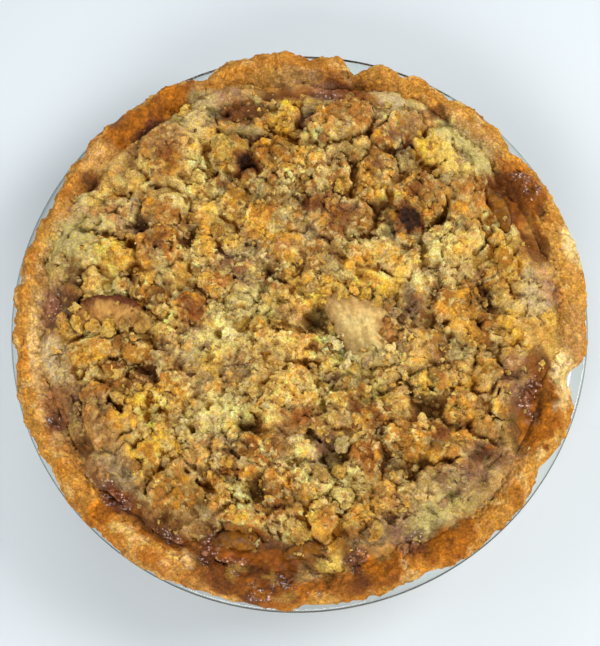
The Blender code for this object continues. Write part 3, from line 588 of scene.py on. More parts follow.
def capped(points, faces, length, low, high):
    """Closes a band of rows at its first and last row with a pole each."""
    count = len(points)
    i = np.arange(length)
    j = (i + 1) % length
    last = count - length
    low_fan = np.stack([np.full(length, count), j, i], -1)
    high_fan = np.stack([last + i, last + j, np.full(length, count + 1)], -1)
    return np.vstack([points, low, high]), np.vstack([faces, low_fan, high_fan])


def capped_colours(colour):
    """Colours for the two poles as well."""
    return np.vstack([colour, colour[:1], colour[-1:]])


def spline(p0, p1, p2, p3, t):
    """A smooth curve from p1 to p2 at share t."""
    bend = (2 * p0 - 5 * p1 + 4 * p2 - p3) * t**2 + (3 * p1 - p0 - 3 * p2 + p3) * t**3
    return 0.5 * (2 * p1 + (p2 - p0) * t + bend)


def turned(profile, counts, sides):
    """A smooth profile turned round the middle: knots of radius and height, with counts steps between them.

    A radius or height is one number or one for each side.
    """
    knots = np.array([[np.broadcast_to(value, sides) for value in knot] for knot in profile], float)
    padded = np.concatenate([2 * knots[:1] - knots[1:2], knots, 2 * knots[-1:] - knots[-2:-1]])
    rows = [spline(*padded[i : i + 4], t) for i, count in enumerate(counts) for t in np.arange(count) / count]
    rows = np.array(rows + [knots[-1]])
    a = np.radians(np.arange(sides) * 360 / sides)
    x, y = rows[:, 0] * np.cos(a), rows[:, 0] * np.sin(a)
    return np.stack([x, y, rows[:, 1]], -1).reshape(-1, 3), band(len(rows), sides)


# ---------------------------------------------------------------- materials


def new_tree(name):
    made = bpy.data.materials.new(name)
    made.use_nodes = True
    return made, made.node_tree, made.node_tree.nodes["Principled BSDF"]


def fill(tree, made, inputs):
    """Sets a node's inputs by name or number, to values or to other nodes' outputs."""
    for key, value in inputs.items():
        if isinstance(value, bpy.types.NodeSocket):
            tree.links.new(value, made.inputs[key])
        else:
            made.inputs[key].default_value = value


def node(tree, kind, inputs=None, **settings):
    made = tree.nodes.new("ShaderNode" + kind)
    for key, value in settings.items():
        setattr(made, key, value)
    fill(tree, made, inputs or {})
    return made


def ranged(tree, source, low, high, least, most):
    inputs = {"Value": source, "From Min": low, "From Max": high, "To Min": least, "To Max": most}
    return node(tree, "MapRange", inputs).outputs["Result"]


def times(tree, *sources):
    result = sources[0]
    for source in sources[1:]:
        result = node(tree, "Math", {0: result, 1: source}, operation="MULTIPLY").outputs[0]
    return result


def shaded(tree, base, factor, share=1.0):
    inputs = {0: share, 6: base, 7: factor}
    return node(tree, "Mix", inputs, data_type="RGBA", blend_type="MULTIPLY").outputs[2]


def ramp(tree, source, *stops):
    made = node(tree, "ValToRGB", {"Fac": source})
    for element, (place, colour) in zip(made.color_ramp.elements, stops):
        element.position = place
        element.color = (*colour, 1)
    return made.outputs["Color"]


def food_material(name, grain, depth, dry, wet, coat, speckle, shine, toast=0.0):
    """A food surface: the piece's own tint broken up by specks and grains, with grain size and bump depth."""
    made, tree, shader = new_tree(name)
    place = node(tree, "TexCoord").outputs["Object"]
    tint = node(tree, "Attribute", attribute_name="tint").outputs["Color"]
    damp = node(tree, "Attribute", attribute_name="wet").outputs["Fac"]

    def specks(scale, detail, roughness):
        inputs = {"Vector": place, "Scale": 1000 / scale, "Detail": detail, "Roughness": roughness}
        return node(tree, "TexNoise", inputs).outputs["Fac"]

    def pebbles(scale):
        made = node(tree, "TexVoronoi", {"Vector": place, "Scale": 1000 / scale})
        return made.outputs["Distance"], node(tree, "SeparateColor", {0: made.outputs["Color"]}).outputs

    fine = specks(1.1 * grain, 4.0, 0.7)
    dots = specks(2.8 * grain, 5.0, 0.75)
    seam, own = pebbles(1.7 * grain)
    # Speckle: random brightness per speck and per grain, with painted shade darkening the seams between
    # grains.
    bright = times(
        tree,
        ranged(tree, fine, 0.32, 0.68, 1 - speckle, 1 + speckle),
        ranged(tree, own[0], 0.0, 1.0, 1 - 0.6 * speckle, 1 + 0.6 * speckle),
        ranged(tree, seam, 0.35, 0.75, 1.0, 1 - 1.1 * speckle),
    )
    final = shaded(tree, tint, bright)
    if toast:
        # Floury and buttery grains: less or more yellow from one grain to the next.
        green = ranged(tree, own[1], 0.0, 1.0, 1.02, 0.97)
        blue = ranged(tree, own[1], 0.0, 1.0, 0.72, 1.28)
        blue = times(tree, blue, ranged(tree, dots, 0.35, 0.65, 1.2, 0.7))
        final = shaded(tree, final, node(tree, "CombineColor", {0: 1.0, 1: green, 2: blue}).outputs[0])
        final = shaded(tree, final, (0.58, 0.42, 0.26, 1), ranged(tree, dots, 0.5, 0.7, 0.0, toast))
    # Painted glints: tiny bright specks mixed into the colour on wet places, standing in for highlights on the
    # syrup.
    if coat > 0.3:
        highlight_cell, highlight_cell_own = pebbles(1.2)
        painted_glint = times(
            tree,
            ranged(tree, highlight_cell, 0.5, 0.3, 0.0, 1.0),
            ranged(tree, highlight_cell_own[1], 0.45, 0.6, 0.0, 0.8),
            ranged(tree, fine, 0.46, 0.56, 0.0, 1.0),
            ranged(tree, damp, 0.45, 0.65, 0.0, 1.0),
        )
        final = node(tree, "Mix", {0: painted_glint, 6: final, 7: (*ink("painted_glint"), 1)}, data_type="RGBA").outputs[2]
    rise = node(tree, "Math", {0: fine, 1: seam}, operation="SUBTRACT").outputs[0]
    bump = node(tree, "Bump", {"Strength": 0.8, "Distance": depth * MM, "Height": rise})
    settings = {
        "Base Color": final,
        "Roughness": ranged(tree, damp, 0.0, 1.0, dry, wet),
        "Specular IOR Level": shine,
        "Coat Weight": ranged(tree, damp, 0.7, 1.0, 0.0, coat),
        "Coat Roughness": 0.06,
        "Normal": bump.outputs["Normal"],
    }
    fill(tree, shader, settings)
    return made


def glass_material():
    """Clear, faintly green glass that lets the lamps through."""
    made, tree, shader = new_tree("pie_plate_glass")
    place = node(tree, "TexCoord").outputs["Object"]
    smear = node(tree, "TexNoise", {"Vector": place, "Scale": 60.0, "Detail": 3.0}).outputs["Fac"]
    # Greener and darker at grazing angles: the glass's own green seen through more of it, and a painted dark
    # line along its edges.
    facing = node(tree, "LayerWeight", {"Blend": 0.5}).outputs["Facing"]
    edge = ranged(tree, facing, 0.1, 0.6, 0.0, 1.0)
    sides = {"Fac": edge, "Color1": (*ink("glass"), 1), "Color2": (*ink("glass_green_and_painted_dark_edge"), 1)}
    settings = {
        "Base Color": node(tree, "MixRGB", sides).outputs["Color"],
        "Roughness": ranged(tree, smear, 0.45, 0.75, 0.015, 0.09),
        "Transmission Weight": 1.0,
        "IOR": 1.47,
    }
    fill(tree, shader, settings)
    clear = node(tree, "BsdfTransparent", {"Color": (*ink("glass_shadow"), 1)}).outputs["BSDF"]
    shadow = node(tree, "LightPath").outputs["Is Shadow Ray"]
    blend = node(tree, "MixShader", {"Fac": shadow, 1: shader.outputs["BSDF"], 2: clear})
    fill(tree, tree.nodes["Material Output"], {"Surface": blend.outputs["Shader"]})
    return made


# ---------------------------------------------------------------- the glass dish


def build_dish():
    inner = DISH_FOOT - 4
    profile = [
        (1.0, 0.0),
        (DISH_FOOT - 2, 0.0),
        (DISH_FOOT + 0.8, 0.15),
        (DISH_FOOT + 4.5, 1.6),
        (DISH_FOOT + 7.5, 5.6),
        (DISH_WALL + 4.4, FLANGE_LOW - 1.5),
        (DISH_WALL + 6.4, FLANGE_LOW),
        (DISH_RADIUS - 1.6, FLANGE_LOW - 0.4),
        (DISH_RADIUS - 0.25, FLANGE_LOW + 0.9),
        (DISH_RADIUS, FLANGE_LOW + 2.2),
        (DISH_RADIUS - 0.35, DISH_TOP - 1.0),
        (DISH_RADIUS - 1.4, DISH_TOP - 0.1),
        (DISH_WALL + 4.6, DISH_TOP),
        (DISH_WALL + 2.4, DISH_TOP - 0.1),
        (DISH_WALL, DISH_TOP - 2.4),
        (inner + 5.6, 9.4),
        (inner + 3.0, 6.3),
        (inner - 1.5, DISH_FLOOR),
        (1.0, DISH_FLOOR),
    ]
    points, faces = turned(profile, (1, 1, 2, 3, 2, 2, 2, 3, 3, 3, 3, 2, 2, 3, 3, 3, 2, 1), 240)
    points, faces = capped(points, faces, 240, (0, 0, 0), (0, 0, DISH_FLOOR))
    make_piece("pie_plate", points, faces, ["glass_dish"], glass_material())


# ---------------------------------------------------------------- the pastry


def pool_share(x, y, pools, seed):
    """How much a place is covered by the pools, 0 to 1, with an uneven edge."""
    x, y = wandering(x, y, seed, (2.0, 8.0), (1.1, 3.0))
    reach, angle = np.hypot(x, y), np.degrees(np.arctan2(y, x))
    return step(0.28, 0.6, sum(np.exp(-0.9 * from_oval(reach, angle, *pool) ** 2) for pool in pools))


def rim_stained(points, colour):
    """Stains that run on from the crumble over the pastry, keeping the surface's own light and dark."""
    x, y = wandering(points[:, 0], points[:, 1], 141, (1.5, 6.0), (1.1, 2.2))
    reach, angle = np.hypot(x, y), np.degrees(np.arctan2(y, x))
    bright = colour @ (0.21, 0.72, 0.07)
    usual = np.median(bright[np.hypot(points[:, 0], points[:, 1]) > 90])
    shade = np.clip(bright / usual, 0.3, 1.3) ** 0.6
    shade *= 1 + 0.12 * soft_noise(points, 1.3, 145)
    sticky = 1 + noises(points, (0.3, 2.6, 146), (0.24, 1.2, 147)) + 0.4 * (chips(points, 1.8, 148)[2] - 0.5)
    for middle, out, along, across, name, strength in RIM_STAINS:
        share = np.exp(-0.7 * from_oval(reach, angle, middle, out, along, across))
        light = shade * sticky if name in STICKY_STAINS else shade
        stain = linear(RIM_STAIN_COLOURS[name]) * light[:, None]
        colour = mixed(colour, stain, strength * step(0.2, 0.75, share))
    return colour


def build_pastry():
    sides = 1000
    angles = np.arange(sides) * 360 / sides
    edge = np.minimum(rim_edge(angles) + 1.3, 120.9)
    crest = rim_height(angles)
    sizes = {4: 9, 5: 10, 6: 11, 7: 8, 8: 12}
    wave = {seed: ripple(angles, RIM_REACH, size, seed) for seed, size in sizes.items()}
    profile = [
        (2.0, CASE_FLOOR_LOW),
        (80.5, CASE_FLOOR_LOW),
        (85.0, 6.2),
        (87.7, 9.3),
        (106.6, 35.6),
        (109.3, 37.9),
        (edge - 2.2, 38.1),
        (edge, 40.3 + 0.4 * wave[4]),
        (edge - 1.7, 18.68 + 0.55 * crest),
        (0.5 * edge + 55.2 + 0.6 * wave[5], crest),
        (110.9 + 0.8 * wave[6], 45.0 + 0.5 * (crest - RIM_CREST) + 0.4 * wave[7]),
        (107.2 + 0.5 * wave[5], 42.4 + 0.4 * wave[8]),
        (102.4, 38.6),
        (97.0, 32.0),
        (84.0, 12.0),
        (80.0, CASE_FLOOR_TOP),
        (2.0, CASE_FLOOR_TOP),
    ]
    points, faces = turned(profile, (2, 1, 2, 6, 2, 4, 5, 9, 9, 9, 8, 9, 2, 1, 1, 1), sides)
    x, y, height = points.T
    reach, angle = np.hypot(x, y), np.degrees(np.arctan2(y, x))
    normal = normals_of(points, faces)
    free = step(38.6, 40.2, height) * step(99, 103, reach)
    inside = step(113, 108, reach)
    syrup = pool_share(x, y, CARAMEL_POOLS, 31) * step(40.0, 41.0, height)
    plum = pool_share(x, y, PLUM_POOLS, 35) * step(40.0, 41.0, height)
    plum = plum * (0.3 + 0.7 * step(-0.2, 0.5, soft_noise(points, 2.2, 39)))
    # Relief: crimps, flakes in two sizes, puckered caramel and one burst bubble.
    rough = noises(points, (0.9, 8.0, 3), (0.6, 4.0, 4), (0.25, 1.5, 5))
    places = bent(points, 0.9, 2.4, 41)
    flakes, lean, own = chips(places, 3.8, 40)
    fine, fine_lean, fine_own = chips(places, 1.6, 44)
    rough += (0.5 + 0.5 * inside) * (step(0, 0.3, flakes) - 0.7 + 1.8 * lean + 0.6 * (own - 0.5))
    rough += 0.25 * (step(0, 0.3, fine) - 0.7) + 0.5 * fine_lean
    puckers = noises(points, (0.35, 3.2, 6), (0.3, 7.0, 7), (0.3, 1.6, 9))
    puckers = puckers + plum * (0.6 * soft_noise(points, 1.9, 8) + 0.4 * (own - 0.5))
    thick = (0.5 + puckers) * syrup * step(119, 115, reach)
    pit = np.exp(-((x - 101.0) ** 2 + (y + 56.0) ** 2) / 3.2)
    lift = free * (rough * (1 - 0.85 * syrup * (1 - plum)) + thick)
    points = points + normal * (lift - 1.3 * pit * free)[:, None]
    points[:, 2] = np.where(free > 0, np.maximum(points[:, 2], 38.1), points[:, 2])
    over = np.hypot(points[:, 0], points[:, 1])
    points[:, :2] *= (np.minimum(over, DISH_RADIUS) / np.maximum(over, 1e-6))[:, None]
    # Colour: golden, browner on high spots, painted shade in the seams between flakes, and paler on parts of
    # the inner slope and at the right, partly painted light where the crust faces the key lamp.
    mottle = 0.5 + noises(points, (0.5, 12.0, 21), (0.3, 5.0, 22))
    bake = 0.12 + 0.3 * inside + 0.6 * (mottle - 0.4) + 0.25 * lift + 0.3 * soft_noise(points, 2.0, 23)
    # Browner at the front and back, paler at the right; the paler right is partly painted light, as that side
    # faces the key lamp.
    bake = np.clip(bake + bumps(angle, ((-90, 50, 0.3), (95, 20, 0.2), (5, 30, -0.3))), 0, 1)
    colour = mixed(ink("crust_gold"), ink("crust_brown"), bake)
    orange = step(0.2, 0.9, noises(points, (1, 10.0, 29), (0.4, 3.0, 30)) + 0.5 * near(angle, 180, 20))
    # Paler on parts of the inner slope: its own lighter bake, and partly painted light where it faces the key
    # lamp.
    slope = step(114, 109, reach) * step(100, 103, reach)
    pale = slope * bumps(angle, ((190, 16, 0.9), (160, 12, 0.5), (-13, 5, 0.8)))
    pale += 0.8 * near(angle, 14, 4) * step(113, 117, reach) + bumps(angle, ((-13, 3.5, 0.7), (-105, 12, 0.3)))
    pale = np.clip(pale + 0.5 * step(0.5, 0.9, soft_noise(points, 5.0, 24) + 0.5 * (own - 0.5)), 0, 0.95)
    toasted = step(0.45, 1.1, noises(points, (1, 7.0, 27), (0.6, 2.2, 28)) + 0.4 * lift)
    colour = laid(
        colour,
        ("crust_orange", 0.6 * orange * (1 - inside)),
        ("crust_pale", pale * (0.6 + 0.4 * (1 - bake))),
        ("crust_toasted", 0.6 * toasted),
    )
    colour *= (1 + 0.3 * (own - 0.5) + 0.3 * (fine_own - 0.5))[:, None]
    # Painted shade: the seams between flakes darkened with the crack colour.
    crack_shade = (0.12 + 0.2 * inside) * step(0.2, 0, flakes) + 0.15 * step(0.25, 0, fine)
    dusky = slope * bumps(angle, ((84, 14, 0.8), (176, 8, 0.5), (-156, 8, 0.6)))
    dusky = dusky * (0.7 + 0.5 * soft_noise(points, 3.0, 25))
    colour = laid(
        colour,
        ("crust_crack_shade", np.clip(crack_shade * free, 0, 0.85)),
        ("crust_dusky", np.clip(dusky, 0, 0.85)),
    )
    deep = np.clip(0.35 + 0.55 * soft_noise(points, 7.0, 26) + 0.35 * step(110, 103, reach), 0, 1)
    colour = mixed(colour, mixed(ink("caramel_bright"), ink("caramel_deep"), deep), 0.92 * syrup)
    halo = step(0.0, 0.5, syrup) * (1 - syrup)
    colour = laid(colour, ("caramel_halo", 0.7 * halo), ("crust_plum", 0.6 * plum)) * (0.95, 0.94, 0.78)
    colour = np.where((height > 40.0)[:, None], rim_stained(points, colour), colour)
    colour = laid(colour, ("crust_pit", 0.9 * free * step(0.3, 0.65, pit)))
    points, faces = capped(points, faces, sides, (0, 0, CASE_FLOOR_LOW), (0, 0, CASE_FLOOR_TOP))
    wet = np.append(np.maximum(0.4 * syrup, plum), (0, 0))
    surface = food_material("golden_pastry", 0.65, 0.45, 0.8, 0.1, 0.6, 0.28, 0.12, toast=0.35)
    colour = capped_colours(colour)
    make_piece("pastry_case", points, faces, ["pastry_crust"], surface, colour, wet)
    return points


# ---------------------------------------------------------------- the filling


def build_filling():
    sides = 880
    profile = [(2, FILLING_LOW), (78, FILLING_LOW), (82.5, 12), (101.6, 36.5), (105.6, 41.0), (103, 41.3)]
    profile += [(97, 40.8), (90, 40.2), (80, FILLING_TOP), (2, FILLING_TOP)]
    points, faces = turned(profile, (1, 2, 2, 3, 4, 7, 10, 6, 1), sides)
    x, y = points[:, 0], points[:, 1]
    show = step(38.5, 39.2, points[:, 2]) * step(80, 88, np.hypot(x, y))
    lumps = noises(points, (0.9, 8.0, 51), (0.55, 3.2, 52), (0.25, 1.5, 57))
    plum = pool_share(x, y, PLUM_POOLS, 35)
    grit, lean, own = chips(points, 1.9, 58)
    grit = 0.35 * (step(0, 0.3, grit) - 0.6) + 0.7 * lean + 0.4 * (own - 0.5)
    points[:, 2] += show * (lumps + (0.3 + 0.7 * plum) * grit)
    deep = np.clip(0.55 + noises(points, (0.5, 10.0, 53), (0.3, 3.0, 54)), 0, 1)
    bits = step(0.5, 0.95, noises(points, (1, 2.2, 55), (0.4, 6.0, 56)))
    colour = laid(mixed(ink("filling_light"), ink("filling_deep"), deep), ("filling_bit", 0.5 * bits))
    colour = mixed(colour, rim_stained(points, colour), 0.8)
    colour = laid(colour, ("filling_plum", 0.5 * plum), ("apple_shred", 0.6 * plum * step(0.7, 0.76, own)))
    colour *= (1 + 0.3 * (own - 0.5))[:, None]
    points, faces = capped(points, faces, sides, (0, 0, FILLING_LOW), (0, 0, FILLING_TOP))
    surface = food_material("caramel_and_apple", 1.2, 0.25, 0.6, 0.08, 0.8, 0.2, 0.1)
    colour, wet = capped_colours(colour), np.append(0.4 + 0.35 * plum, (0.4, 0.4))
    make_piece("caramel_filling", points, faces, ["apple_filling"], surface, colour, wet)
    return points


# ---------------------------------------------------------------- the apple slices


def arc_slice(name, node_name, arc, base, height, look, surface, slot):
    """A curved wedge along an arc: thick rounded outer side, thinner inner side, tapering to its ends."""
    cx, cy, radius, first, last, width = arc
    along, around = 110, 44
    share = np.linspace(0, 1, along)[:, None]
    turn = np.radians(first + (last - first) * share)
    way = np.linspace(0, 2 * np.pi, around, endpoint=False)[None, :]
    taper = 0.06 + 0.94 * np.sin(np.pi * np.clip(share, 0.004, 0.996)) ** 0.55
    across, up = np.cos(way), np.sin(way)
    across = np.sign(across) * np.abs(across) ** 0.75
    thick = 0.5 * height * taper**0.6 * (1 + 0.3 * across)
    r = radius + 0.5 * width * taper * across
    z = base + 0.45 * height + thick * np.sign(up) * np.abs(up) ** 0.8
    rows = np.stack([cx + r * np.cos(turn), cy + r * np.sin(turn), z], -1)
    ends = rows[[0, -1]].mean(1)
    points, faces = capped(rows.reshape(-1, 3), band(along, around), around, ends[0], ends[1])
    if normals_of(points, faces)[np.argmax(points[:, 2]), 2] < 0:
        faces = faces[:, ::-1]
    normal = normals_of(points, faces)
    rise = noises(points, (0.45, 5.0, 61), (0.35, 1.8, 62), (0.15, 0.9, 60)) - 0.2
    points = points + normal * rise[:, None]
    side = np.append((across * np.ones((along, around))).ravel(), (0, 0))
    if slot == "cooked_apple":
        bits, lean, own = chips(points, 1.7, 67)
        points = points + normal * (0.2 * (step(0, 0.3, bits) - 0.7) + 0.35 * lean)[:, None]
        side = side + 0.2 + 0.3 * (own - 0.5)
    fibre = 0.5 + 0.35 * soft_noise(points * (1, 1, 0.4), 2.6, 63) + 0.35 * soft_noise(points, 7.0, 64)
    colour = mixed(ink(look + "_flesh"), ink(look + "_deep"), np.clip(fibre, 0, 1))
    colour = laid(colour, (look + "_rind", step(0.45, 0.95, side + 0.25 * soft_noise(points, 4.0, 65))))
    wet = np.full(len(points), 0.9 if slot == "glazed_apple" else 0.15)
    make_piece(name, points, faces, [node_name], surface, colour, wet)
    return points


def middle_slice(surface):
    """The broad pale slice on top: a flat slab with rounded, slightly curled edges."""
    corners = np.array(MIDDLE_OUTLINE, float)
    around = [np.roll(corners, shift, 0) for shift in (1, 0, -1, -2)]
    outline = np.array([spline(*four, t) for four in zip(*around) for t in np.arange(14) / 14])
    n = len(outline)
    flat = flat_points(*outline.T)
    outline = (bent(flat, 0.5, 6.0, 171) + bent(flat, 0.5, 2.0, 173) - flat)[:, :2]
    middle = outline.mean(0)
    outward = outline - middle
    size = np.linalg.norm(outward, axis=1, keepdims=True)
    levels = [(-1.5, 0.0), (-0.5, 0.5), (0.0, 1.4), (0.0, 2.6), (-0.4, 3.5), (-1.3, 4.1), (-2.6, 4.3)]
    rows = []
    for inset, rise in levels:
        rows.append(np.column_stack([middle + outward * (1 + inset / size), np.full(n, rise)]))
    for share in (0.75, 0.6, 0.45, 0.3, 0.15):
        inner = middle + (rows[6][:, :2] - middle) * share
        rows.append(np.column_stack([inner, np.full(n, 4.3 - 0.5 * (1 - share))]))
    points, faces = capped(np.vstack(rows), band(len(rows), n), n, (*middle, 0), (*middle, 3.7))
    points[:, 2] += 47.4 + 0.03 * points[:, 0] + 0.05 * points[:, 1]
    show = step(47.5, 49.5, points[:, 2])
    points[:, 2] += show * noises(points, (0.7, 9.0, 71), (0.3, 3.0, 72), (0.15, 1.2, 70))
    x, y = points[:, 0], points[:, 1]
    along = (x - 14) * 0.54 - (y - 7) * 0.84
    beside = (x - 14) * 0.84 + (y - 7) * 0.54
    fibres = soft_noise(flat_points(0.2 * along, beside), 1.5, 68)
    ridges = 0.9 * np.exp(-((beside - 5) ** 2) / 6) - 0.5 * np.exp(-((beside - 9) ** 2) / 4)
    points[:, 2] += show * (ridges + 0.25 * fibres)
    edge = np.append(np.repeat([1, 0.9, 0.8, 0.6, 0.45, 0.25, 0.1, 0, 0, 0, 0, 0], n), (1, 0))
    tone = np.clip(0.45 + noises(points, (0.5, 9.0, 73), (0.25, 3.0, 74)), 0, 1)
    high = step(-6, 6, y + 3 * soft_noise(points, 6.0, 76))
    low = step(-8, -18, y + 3 * soft_noise(points, 6.0, 77))
    streak = step(0.35, 0.9, soft_noise(points * (1, 0.45, 1), 2.4, 78) + 0.4 * soft_noise(points, 1.2, 79))
    toasted = np.exp(-(((x - 39) ** 2 + (y + 11) ** 2) / 60)) + 0.35 * soft_noise(points, 2.5, 80)
    # Painted shade along the slice's left side.
    left = step(20, 13, x + 0.6 * y + 2 * soft_noise(points, 4.0, 69))
    colour = laid(
        mixed(ink("flesh_pale"), ink("flesh"), tone),
        ("flesh_far", 0.7 * high),
        ("flesh_near", 0.7 * low),
        ("flesh_streak", 0.5 * streak),
        ("flesh_fibre", 0.45 * step(0.2, 0.9, fibres)),
        ("flesh_toasted", 0.8 * step(0.25, 0.8, toasted)),
        ("flesh_painted_shade_left", 0.7 * left),
        ("flesh_edge", 0.8 * np.clip(edge - 0.3 + 0.3 * soft_noise(points, 3.0, 75), 0, 1)),
    )
    wet = np.full(len(points), 0.3)
    make_piece("apple_middle", points, faces, ["apple_slice_middle"], surface, colour, wet)
    return points


def build_slices():
    pale = food_material("soft_apple", 1.2, 0.25, 0.5, 0.3, 0.1, 0.2, 0.15)
    glazed = food_material("glazed_apple_flesh", 1.2, 0.25, 0.5, 0.3, 0.06, 0.2, 0.15)
    rows = (
        ("apple_left", "apple_slice_left", LEFT_ARC, 45.2, 5.2, "left", pale, "cooked_apple"),
        ("apple_right", "apple_slice_right", RIGHT_ARC, 40.4, 6.0, "glazed", glazed, "glazed_apple"),
        ("apple_front_left", "apple_slice_front_left", FRONT_ARC, 40.4, 5.6, "glazed", glazed, "glazed_apple"),
        ("apple_front", "apple_slice_front", NEAR_ARC, 40.4, 4.8, "glazed", glazed, "glazed_apple"),
    )
    return np.vstack([middle_slice(pale)] + [arc_slice(*row) for row in rows])


# ---------------------------------------------------------------- the crumble's colours

TONE_NAMES = list(TONES)
TONE_TABLE = np.array([[linear(c) for c in TONES[name]] for name in TONE_NAMES])
PLACES = [(row[0], row[1], 0.33 * (row[2] + row[3]), TONE_NAMES.index(row[5]), 1.0) for row in CRUMBS]
PLACES += [(*row, TONE_NAMES.index(tone), 3.0) for tone, rows in PATCHES.items() for row in rows]
PLACES = np.array(PLACES, float)
EDGE_ANGLES = np.arange(720) * 0.5
EDGE_TABLE = heap_edge(EDGE_ANGLES)


def tone_at(x, y):
    """Crevice, side and top colours blended from the named places; shape (points, 3, 3)."""
    x, y = wandering(x, y, 121, (1.8, 6.0))
    away = ((x[:, None] - PLACES[:, 0]) ** 2 + (y[:, None] - PLACES[:, 1]) ** 2) / PLACES[:, 2] ** 2
    weight = PLACES[:, 4] * np.exp(-2.6 * away)
    rest = 0.01
    table = TONE_TABLE[PLACES[:, 3].astype(int)]
    blend = np.tensordot(weight, table, 1) + rest * TONE_TABLE[TONE_NAMES.index("gold")]
    return blend / (weight.sum(1) + rest)[:, None, None]


def scorch_at(x, y):
    share = np.zeros_like(x)
    x, y = wandering(x, y, 123, (1.6, 5.0), (0.8, 2.0))
    for sx, sy, reach, dark in SCORCHED:
        share = np.maximum(share, dark * np.exp(-(((x - sx) ** 2 + (y - sy) ** 2) / reach**2) ** 1.3))
    return share


def scorched_over(colour, share):
    edge, core = 0.8 * step(0.12, 0.42, share), 0.95 * step(0.5, 0.85, share)
    return laid(colour, ("scorched_edge", edge), ("scorched", core))


def smooth_at(x, y):
    """1 on the clumps that are smooth, 0 on the grainy rest."""
    share = np.zeros_like(x)
    for cx, cy, length, width, _, _, grain in CRUMBS:
        if not grain:
            reach = 0.3 * (length + width)
            share = np.maximum(share, np.exp(-(((x - cx) ** 2 + (y - cy) ** 2) / reach**2)))
    return share


def grainy(points, faces, tones, small):
    """Carves grains into loose crumbs and colours them: painted shade in the crevices and on downward faces,
    tinted sides and baked tops.
    """
    normal = normals_of(points, faces)
    big = cells(points, 5.2 * small, 120, 70.5)[0]
    mid, _, _, own = cells(points, 2.4 * small, 125, 70.5)
    sink = (1.7 * big**2 + 0.95 * mid**2) * small
    sink = 1.3 * (sink - 0.55 * small - 0.16 * soft_noise(points, 1.3 * small, 129))
    crevice_shade = np.clip(0.55 * np.clip(big - 0.45, 0, 1) + 0.75 * np.clip(mid - 0.45, 0, 1), 0, 1) * 1.5
    points = points - normal * sink[:, None]
    up = normals_of(points, faces)[:, 2]
    high = np.clip((points[:, 2] - 47) / 6, -1, 1)
    bake = 0.5 * up + 0.3 * high + noises(points, (0.45, 6.5, 81), (0.35, 2.4, 82))
    singe = step(0.62, 1.15, noises(points, (1, 7.5, 83), (0.5, 2.0, 84)) + 0.25 * high)
    buttery = step(0.55, 1.0, noises(points, (1, 5.0, 85), (0.4, 1.8, 86)))
    colour = mixed(tones[:, 1], tones[:, 2], step(0.1, 0.9, bake))
    colour = laid(colour, ("crumb_singed", 0.55 * singe), ("crumb_buttery", 0.45 * buttery))
    colour = colour * (1 + 0.34 * (own - 0.5))[:, None]
    # Painted shade: crevices between grains and faces turned downwards darkened towards the crevice colour.
    dark = crevice_shade + 0.9 * np.clip(0.35 - up, 0, 1)
    colour = mixed(colour, tones[:, 0], np.clip(dark, 0, 1) ** 1.3)
    return points, scorched_over(colour, scorch_at(points[:, 0], points[:, 1]))


# ---------------------------------------------------------------- the crumble's heap


def blurred(field, reach):
    """The field averaged over a square of cells to each side, twice."""
    for _ in range(2):
        for axis in (0, 1):
            width = 2 * reach + 1
            pad = [(0, 0), (0, 0)]
            pad[axis] = (reach + 1, reach)
            total = np.cumsum(np.pad(field, pad, mode="edge"), axis=axis)
            high = np.take(total, np.arange(width, total.shape[axis]), axis=axis)
            low = np.take(total, np.arange(total.shape[axis] - width), axis=axis)
            field = (high - low) / width
    return field


